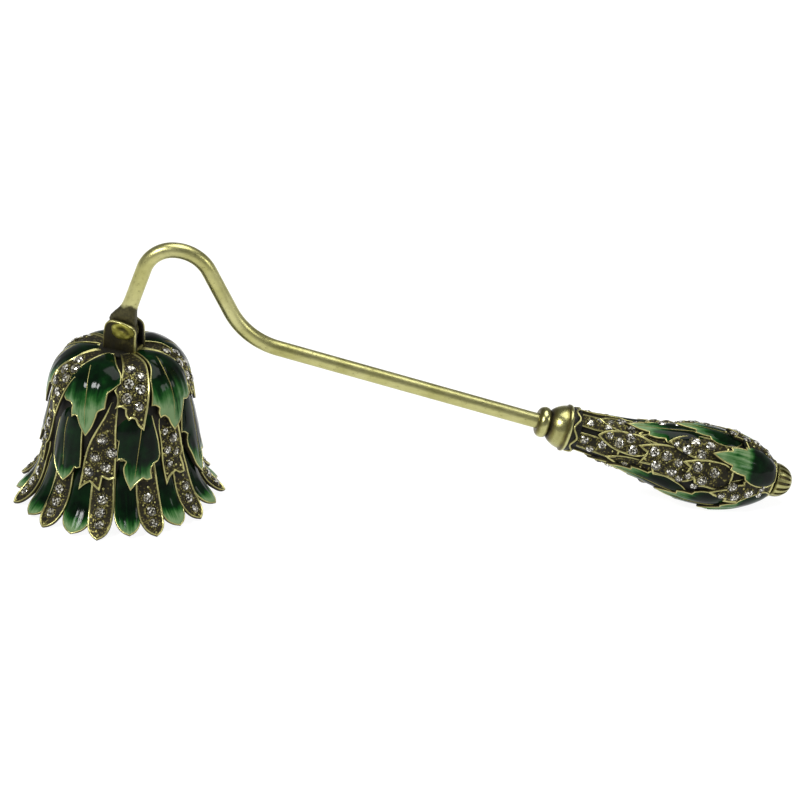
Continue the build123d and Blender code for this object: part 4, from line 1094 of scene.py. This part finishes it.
# plain dark leaves low down, seen in the gaps
for th, root, tip, half in ((24, 33.5, 16.5, 3.0), (-60, 33.5, 22.5, 2.6), (8, 55.5, 43.0, 3.6), (112, 34.0, 18.0, 3.2), (205, 33.0, 17.0, 3.0)):
    hand_stones(mid_h, th, root, tip, half, [(th + 4, (root + tip) / 2 - 3.5, 0.8)] if half == 3.0 else [], "smooth", 1, lift=-0.85, curl=0.2, crown=0.2,
                beads=[(th - 6, (root + tip) / 2, 0.28), (th + 2, (root + tip) / 2 + 3.0, 0.26)])

# front layer, nearest the ferrule
for n, (th, flip) in enumerate(((140, 1), (236, -1))):
    hand_green(front, th, 27.5, 11.6, 2.9, "acanthus", flip, lift=(-0.75, -0.25)[n], curl=0.3, crown=0.2, pale=0.72, soft=0.4)
for n, (th, flip) in enumerate(((-30, 1), (66, -1), (104, 1), (192, 1), (280, -1))):
    base = [(5, 18.7), (-13, 21.0), (13, 22.1), (-6, 16.2, 0.8)]
    st = [(th + (a if flip > 0 else -a), s, *r) for a, s, *r in base]
    hand_stones(front, th, 26.0, 13.4, 3.0, st, "smooth", flip, lift=-0.55, curl=0.3, crown=0.25)
for n, th in enumerate((-68, 2, 86, 160, 224)):
    st = [(th + 8, 11.5, 0.92), (th - 10, 13.8, 0.92), (th + 9, 15.8, 0.95)] if n != 1 else [(-5, 10.9, 0.95), (-7, 15.1, 0.95), (19, 12.9, 0.92)]
    hand_stones(front, th, 19.5, 8.7, 2.5, st, "strap", 1, lift=-0.1 if n == 4 else -0.62, curl=0.25, crown=0.2, beads=[(th - 10, 11.2, 0.26), (th, 17.8, 0.26)])

core = [(max(r - 0.95, 1.62), s) for s, r in HANDLE_R]
core_pts = curve2([(r, s) for r, s in core], 5)
cv, cf = revolve(np.vstack([[(1.62, 9.0)], core_pts, [(1.24, 57.6), (1.24, 40.0), (1.62, 38.0)]]), HAND, 96)
cv = GRIP.bent(cv, (cv - np.asarray(H_ORIGIN)) @ np.asarray(H_AXIS))
front.brass.add(cv, cf, {"worn": 0.02})

hand_brass = Heap()
for tier in (rear, mid_h, front):
    hand_brass.v += tier.brass.v
    hand_brass.f += [tuple(i + hand_brass.n for i in f) for f in tier.brass.f]
    hand_brass.a.setdefault("worn", []).extend(tier.brass.a["worn"])
    hand_brass.n += tier.brass.n
piece = hand_brass.make("handle_leafwork", "stem", "antique_brass", ANTIQUE, angle=50)
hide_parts("handle_casting")
for tier, name in ((rear, "rear"), (mid_h, "middle"), (front, "front")):
    piece = tier.enamel.make("handle_glaze_" + name, "stem", "green_enamel", ENAMEL, angle=60)
    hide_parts("handle_enamel_" + name)
    piece = tier.stone.make("handle_stones_" + name, "stem", "crystal", STONE, smooth=False)
    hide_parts("handle_crystals_" + name)

# wavy collar where the handle's leaves meet the ferrule
a = np.linspace(0, 2 * math.pi, 241)[:-1]
path = GRIP.at(np.degrees(a), GRIP.length - (np.asarray(8.5 + 0.5 * np.cos(7 * a + 0.6) + 0.14 * np.sin(3 * a)) - 9.0), 0.30)
sides = 8
cv, cf = [], []
for i in range(len(a)):
    t = path[(i + 1) % len(a)] - path[i - 1]
    t /= np.linalg.norm(t)
    out = GRIP.at(math.degrees(a[i]), GRIP.w_of(9.95), 1.0) - GRIP.at(math.degrees(a[i]), GRIP.w_of(9.95), 0.0)
    out -= t * out.dot(t)
    out /= np.linalg.norm(out)
    side = np.cross(t, out)
    for j in range(sides):
        q = 2 * math.pi * j / sides
        cv.append(path[i] + 0.24 * math.cos(q) * side + 0.30 * math.sin(q) * out)
        cf.append((i * sides + j, i * sides + (j + 1) % sides, ((i + 1) % len(a)) * sides + (j + 1) % sides, ((i + 1) % len(a)) * sides + j))
collar = Heap()
collar.add(cv, cf, {"worn": 0.85})
collar.make("handle_collar", "stem", "antique_brass", ANTIQUE)

# ------------------------------------------------------------------ fork and pin


class Flat:
    """Flat face that a leaf-style outline can be laid on."""

    length = 0.0

    def __init__(self, origin, x, y, n):
        self.o, self.x, self.y, self.n = (np.asarray(v, float) for v in (origin, x, y, n))

    def radius(self, w):
        return np.ones_like(np.asarray(w, float))

    def at(self, theta, w, h=0.0):
        th, w, h = np.broadcast_arrays(np.radians(np.asarray(theta, float)), np.asarray(w, float), np.asarray(h, float))
        return self.o + th[..., None] * self.x + w[..., None] * self.y + h[..., None] * self.n


TURN = math.radians(25.0)
PIN_X = 0.9
AX = np.array((math.sin(TURN), math.cos(TURN), 0.0))        # along the pin, away from the front
WX = np.array((math.cos(TURN), -math.sin(TURN), 0.0))       # across an ear
ZX = np.array((0.0, 0.0, 1.0))
SLOT, EAR_T = 2.8, 1.2
fork = Heap()
EAR = [(-4.1, 35.9, 1), (-4.02, 38.5), (-3.85, 41.0), (-3.45, 42.6), (-2.5, 43.55), (-0.4, 43.7), (1.6, 43.4), (3.0, 42.95), (3.8, 42.0), (3.98, 39.5), (4.05, 35.9, 1)]
for sign in (-1, 1):
    o = np.array((-SHIFT_X + PIN_X, 0, 0)) + AX * sign * SLOT / 2
    face = Flat(o, WX, ZX, AX * sign)
    ear = Leaf(face, 0.0, [(x, z, *c) for x, z, *c in EAR], rim=0.4, spacing=0.3, grid=0.45, local=True)
    d = ear.d
    rnd = 0.16 * (1 - np.sqrt(np.clip(1 - np.clip(1 - d / 0.34, 0, 1) ** 2, 0, 1)))
    dent = 0.05 * np.sin(ear.p[:, 0] * 1.7 + 1.0) * np.cos(ear.p[:, 1] * 1.3)
    arch = np.clip((ear.p[:, 1] - 40.4) / 1.6, 0, 1)
    right = np.clip((ear.p[:, 0] - 2.2) / 1.0, 0, 1)
    # edges brighter as rubbed wear, and a little brighter round the pin; the extra edge brightness along the top arch
    # and the right edge is painted highlight
    worn = 0.22 + np.exp(-(d / 0.30) ** 2) * (0.35 + 0.45 * arch + 0.35 * right) + 0.12 * np.clip(1 - np.hypot(ear.p[:, 0], ear.p[:, 1] - 41) / 3.6, 0, 1)
    ear.solid(fork, EAR_T - rnd + dent, rnd, None, {"worn": worn})
base_face = Flat((-SHIFT_X + PIN_X, 0, 0), WX, AX, ZX)
foot = Leaf(base_face, 0.0, [(-4.0, -2.5, 1), (4.0, -2.5, 1), (4.0, 2.5, 1), (-4.0, 2.5, 1)], rim=0.4, spacing=0.35, grid=0.6, local=True)
rnd = 0.2 * (1 - np.sqrt(np.clip(1 - np.clip(1 - foot.d / 0.34, 0, 1) ** 2, 0, 1)))
foot.solid(fork, 37.5 - rnd, np.full_like(foot.d, 35.72), None, {"worn": 0.12 + 0.5 * np.exp(-(foot.d / 0.3) ** 2)})
sv, sf = revolve([(0.01, 35.73), (4.7, 35.73), (4.75, 36.3), (4.4, 36.75), (0.01, 36.9)], BELL, 64)
fork.add(sv, sf, {"worn": 0.1})
sv, sf = revolve([(0.01, 36.0), (1.5, 36.0), (1.5, 31.3), (1.3, 31.02), (0.01, 31.02)], BELL, 32)
fork.add(sv, sf, {"worn": 0.3})
piece = fork.make("fork_body", "bell", "antique_brass", ANTIQUE, angle=55)
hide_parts("hinge_fork")

pin = Heap()
for sign, seed in ((-1, 0.4), (1, 2.1)):
    o = np.array((-SHIFT_X + PIN_X, 0, PIN_Z)) + AX * sign * (SLOT / 2 + EAR_T - 0.02)
    v, f, worn = [], [], []
    nr_, na_ = 12, 40
    for i in range(nr_ + 1):
        q = i / nr_
        for j in range(na_):
            a = 2 * math.pi * j / na_
            edge = 2.35 + 0.16 * math.sin(2 * a + seed) + 0.10 * math.sin(3 * a + 2 * seed) + 0.06 * math.sin(5 * a)
            x, y = q * edge * 1.20 * math.cos(a), q * edge * 0.86 * math.sin(a)
            # hammered over to one side: a knob at one end, a hollow beside it, a rolled lip below
            knob = math.exp(-(((x + 1.75) / 0.55) ** 2 + ((y - 0.9) / 0.5) ** 2))
            dimple = math.exp(-(((x - 0.1) / 1.1) ** 2 + ((y - 0.55) / 0.5) ** 2))
            dimple2 = math.exp(-(((x - 1.3) / 0.6) ** 2 + ((y + 0.15) / 0.45) ** 2))
            h = 0.56 * math.sqrt(max(1 - q ** 4, 0.0)) - 0.40 * dimple - 0.22 * dimple2 + 0.18 * knob + 0.05 * math.sin(3.1 * x + 1) * math.cos(2.7 * y)
            y += -0.10 * x + 0.62
            v.append(o + WX * (x + 0.88) + ZX * y + AX * sign * h)
            # the head's colour goes darker in the two hollows and at its edge, and brighter on the knob
            worn.append(min(max(0.58 - 0.52 * dimple - 0.3 * dimple2 + 0.42 * knob - 0.35 * max(q - 0.93, 0) / 0.07, 0.1), 1.0))
    for i in range(nr_):
        for j in range(na_):
            k = (j + 1) % na_
            if i == 0:
                f.append((0, na_ + j, na_ + k))
            else:
                f.append((i * na_ + j, (i + 1) * na_ + j, (i + 1) * na_ + k, i * na_ + k))
    v, worn = v[:1] + v[1:], worn
    f.append(tuple(nr_ * na_ + j for j in range(na_)))
    used = sorted({i for t in f for i in t})
    new = {i: k for k, i in enumerate(used)}
    pin.add([v[i] for i in used], [tuple(new[i] for i in t) for t in f], {"worn": [worn[i] for i in used]})
shank, ff = tube([np.array((-SHIFT_X + PIN_X, 0, PIN_Z)) + AX * t for t in np.linspace(-2.7, 2.7, 5)], [1.3] * 5, 28)
pin.add(shank, ff, {"worn": 0.4})
piece = pin.make("pin_peened", "bell", "polished_brass", PEEN, angle=55)
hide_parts("hinge_pin")

# the rod in one sweep, from its flattened end round the bends into the handle
# sections near the eye: distance from the pin, half width left and right, half thickness, squareness
LEG = np.array((math.cos(math.radians(71.7)), 0.0, math.sin(math.radians(71.7))))
NECK = 1.375 * np.array((1.0, 0.0, 0.0)) - 0.641 * np.array((0.0, 1.0, 0.0)) + 7.026 * ZX
NECK /= np.linalg.norm(NECK)
e2 = AX - LEG * AX.dot(LEG)
e2 /= np.linalg.norm(e2)
e1 = np.cross(e2, LEG)
st = np.array([(1.45, 3.3, 2.70, 1.22, 3.0), (1.9, 3.80, 2.60, 1.30, 3.6), (2.4, 4.02, 2.45, 1.32, 3.6), (3.3, 3.80, 2.20, 1.33, 4.0), (4.3, 3.15, 2.02, 1.36, 3.4), (4.9, 2.66, 1.94, 1.46, 2.9),
               (5.5, 2.22, 1.88, 1.60, 2.5), (6.1, 1.96, 1.84, 1.70, 2.2), (6.8, 1.83, 1.80, 1.745, 2.05), (7.6, 1.775, 1.772, 1.75, 2.0), (8.4, 1.75, 1.75, 1.75, 2.0), (15.72, 1.75, 1.75, 1.75, 2.0)])
cols_ = 48
around = [2 * math.pi * j / cols_ for j in range(cols_)]
v, f = [], []
for a_ in list(np.linspace(1.45, 8.6, 60)) + [10.0, 12.0, 14.0, 15.717]:
    hl, hr, ht, sq = (np.interp(a_, st[:, 0], st[:, k]) for k in (1, 2, 3, 4))
    s_ = min(max((a_ - 3.9) / 2.6, 0.0), 1.0)
    s_ = s_ * s_ * (3 - 2 * s_)
    c_ = (np.array((-SHIFT_X + PIN_X, 0, PIN_Z)) + NECK * a_) * (1 - s_) + (np.array((-SHIFT_X + 0.25, 0, PIN_Z)) + LEG * a_) * s_
    lv = min(max((a_ - 4.6) / 4.0, 0.0), 1.0)          # sections are level at the eye and square to the rod above it
    lv = lv * lv * (3 - 2 * lv)
    ex = WX * (1 - lv) + e1 * lv
    ex /= np.linalg.norm(ex)
    for q in around:
        cq, sq_ = math.cos(q), math.sin(q)
        m_ = (abs(cq) ** sq + abs(sq_) ** sq) ** (-1 / sq)
        v.append(c_ + ex * (hl if cq < 0 else hr) * m_ * cq + (AX * (1 - lv) + e2 * lv) * ht * m_ * sq_)
h_leg, h_drop, h_stem, h_hand = (math.radians(k) for k in (71.7, 62.8, 16.0, 14.2))
R1, R2, R3, R4 = 6.6, 9.1, 17.7, 60.0
TOPX, TOPZ = 11.45, 60.45
way = [((TOPX - R1 * math.sin(h), TOPZ - R1 + R1 * math.cos(h)), h) for h in np.linspace(h_leg, 0, 26)[1:]]
way += [((TOPX + R2 * math.sin(h), TOPZ - R2 + R2 * math.cos(h)), -h) for h in np.linspace(0, h_drop, 30)[1:]]
drop = way[-1][0]
join = (HX - 1.2 * math.cos(h_hand), HZ + 1.2 * math.sin(h_hand))
ma, mb = -math.tan(h_drop), -math.tan(h_stem)
cross_x = (join[1] - drop[1] + ma * drop[0] - mb * join[0]) / (ma - mb)
cross_z = drop[1] + ma * (cross_x - drop[0])
for corner, h0, h1, rr, steps in (((cross_x, cross_z), h_drop, h_stem, R3, 24), (join, h_stem, h_hand, R4, 4)):
    reach = rr * math.tan((h0 - h1) / 2)
    start = (corner[0] - reach * math.cos(h0), corner[1] + reach * math.sin(h0))
    mid = (start[0] + rr * math.sin(h0), start[1] + rr * math.cos(h0))
    way += [((mid[0] - rr * math.sin(h), mid[1] - rr * math.cos(h)), -h) for h in np.linspace(h0, h1, steps)]
way.append(((way[-1][0][0] + 30.0 * math.cos(h_hand), way[-1][0][1] - 30.0 * math.sin(h_hand)), -h_hand))
lean_n = np.array((-math.sin(h_leg), 0.0, math.cos(h_leg)))
for (px, pz), h in way:
    normal = np.array((-math.sin(h), 0.0, math.cos(h)))
    r1, r2 = (normal * e.dot(lean_n) + np.array((0.0, 1.0, 0.0)) * e[1] for e in (e1, e2))
    for q in around:
        v.append(np.array((px - SHIFT_X, 0.0, pz)) + 1.75 * (r1 * math.cos(q) + r2 * math.sin(q)))
count = len(v) // cols_
for i in range(count - 1):
    for j in range(cols_):
        k = (j + 1) % cols_
        f.append((i * cols_ + j, i * cols_ + k, (i + 1) * cols_ + k, (i + 1) * cols_ + j))
f.append(tuple(range(cols_))[::-1])
f.append(tuple((count - 1) * cols_ + j for j in range(cols_)))
rod = Heap()
rod.add(v, f)
eye_v, eye_f = revolve([(1.36, -1.25), (1.36, 1.25), (2.85, 1.25), (3.1, 1.05), (3.1, -1.05), (2.85, -1.25)], ((-SHIFT_X + PIN_X, 0, PIN_Z), AX, WX, ZX), 64)
rod.add(eye_v, eye_f)
piece = rod.make("rod_sweep", "stem", "satin_brass", ROD, angle=55)
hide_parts("stem_rod")

# ------------------------------------------------------------------ kept CAD nodes
GOLD = (lin(122, 118, 70), lin(182, 180, 124))
# the groove and join bands below are patina and painted shade; the raised rings stay bright
FERRULE = make_axis_brass("ferrule_brass", H_ORIGIN, H_AXIS, [(-0.5, 0.2), (0.3, 0.5), (0.9, 0.9), (1.7, 0.95), (2.4, 0.4), (2.9, 0.05), (3.3, 0.4), (4.2, 0.85), (5.6, 0.8),
                                                            (6.4, 0.3), (6.65, 0.5), (6.9, 1.0), (7.35, 0.9), (7.5, 0.0), (9.6, 0.0)], GOLD)
CAP = make_axis_brass("cap_brass", H_ORIGIN, H_AXIS, [(57.0, 0.2), (57.8, 0.82), (58.4, 0.9), (60.5, 0.74), (62.3, 0.85)], GOLD, 0.28, 0.5, flutes=(16, 5.5, (-math.sin(HA), 0, -math.cos(HA))))
NUT = make_antique("nut_brass", worn_attribute=False)
for name, mat in (("ferrule_ring", FERRULE), ("ferrule_cup", FERRULE), ("handle_calyx", FERRULE), ("end_cap", CAP),
                  ("cap_stud", ROD), ("fork_nut", NUT)):
    o = NODES[name]
    if not o.material_slots:
        o.data.materials.append(mat)
    for s in o.material_slots:
        s.material = mat

# ------------------------------------------------------------------ floor and light
floor_mesh = bpy.data.meshes.new("floor")
floor_mesh.from_pydata([(-3, -3, 0), (3, -3, 0), (3, 3, 0), (-3, 3, 0)], [], [(0, 1, 2, 3)])
floor = bpy.data.objects.new("floor", floor_mesh)
bpy.context.scene.collection.objects.link(floor)
floor.location.z = -0.00005
g = Graph("floor_paper")
paper = g.mix(g.noise(g.coords(), 30.0, 2.0), lin(118, 118, 118), lin(122, 122, 122))
g.set(Base_Color=paper, Roughness=0.9, Emission_Color=(1.0, 1.0, 1.0, 1.0), Emission_Strength=0.93)
g.bsdf.inputs["Specular IOR Level"].default_value = 0.1
floor_mesh.materials.append(g.mat)


def area(name, at, size, power, target=(0.0, 0.0, 0.02), size_y=None, colour=(1, 1, 1)):
    data = bpy.data.lights.new(name, "AREA")
    data.shape = "RECTANGLE"
    data.size, data.size_y = size, size_y or size
    data.energy = power
    data.color = colour
    o = bpy.data.objects.new(name, data)
    bpy.context.scene.collection.objects.link(o)
    o.location = at
    o.rotation_euler = (Vector(target) - Vector(at)).to_track_quat("-Z", "Y").to_euler()
    return o


area("key", (-0.55, -0.45, 0.75), 0.20, 7.0)
area("top", (0.15, 0.1, 1.0), 0.7, 6.5)
area("side", (0.9, -0.3, 0.5), 0.3, 2.0)
world = bpy.data.worlds.new("studio")
bpy.context.scene.world = world
world.use_nodes = True
wt = world.node_tree
sky = wt.nodes["Background"]
way = wt.nodes.new("ShaderNodeTexCoord")
cut = wt.nodes.new("ShaderNodeSeparateXYZ")
shade = wt.nodes.new("ShaderNodeValToRGB")
wt.links.new(way.outputs["Generated"], cut.inputs[0])
wt.links.new(cut.outputs[2], shade.inputs[0])
wt.links.new(shade.outputs[0], sky.inputs[0])
el = shade.color_ramp.elements
el[0].position, el[0].color = 0.0, (0.85, 0.85, 0.85, 1)
el[1].position, el[1].color = 1.0, (0.30, 0.305, 0.30, 1)
mid_el = el.new(0.30)
mid_el.color = (0.62, 0.62, 0.62, 1)
mid_el = el.new(0.55)
mid_el.color = (0.34, 0.345, 0.34, 1)
sky.inputs[1].default_value = 0.55
scene = bpy.context.scene
scene.view_settings.view_transform = "Standard"
scene.view_settings.look = "None"
scene.view_settings.exposure = 0.0
scene.view_settings.gamma = 1.0
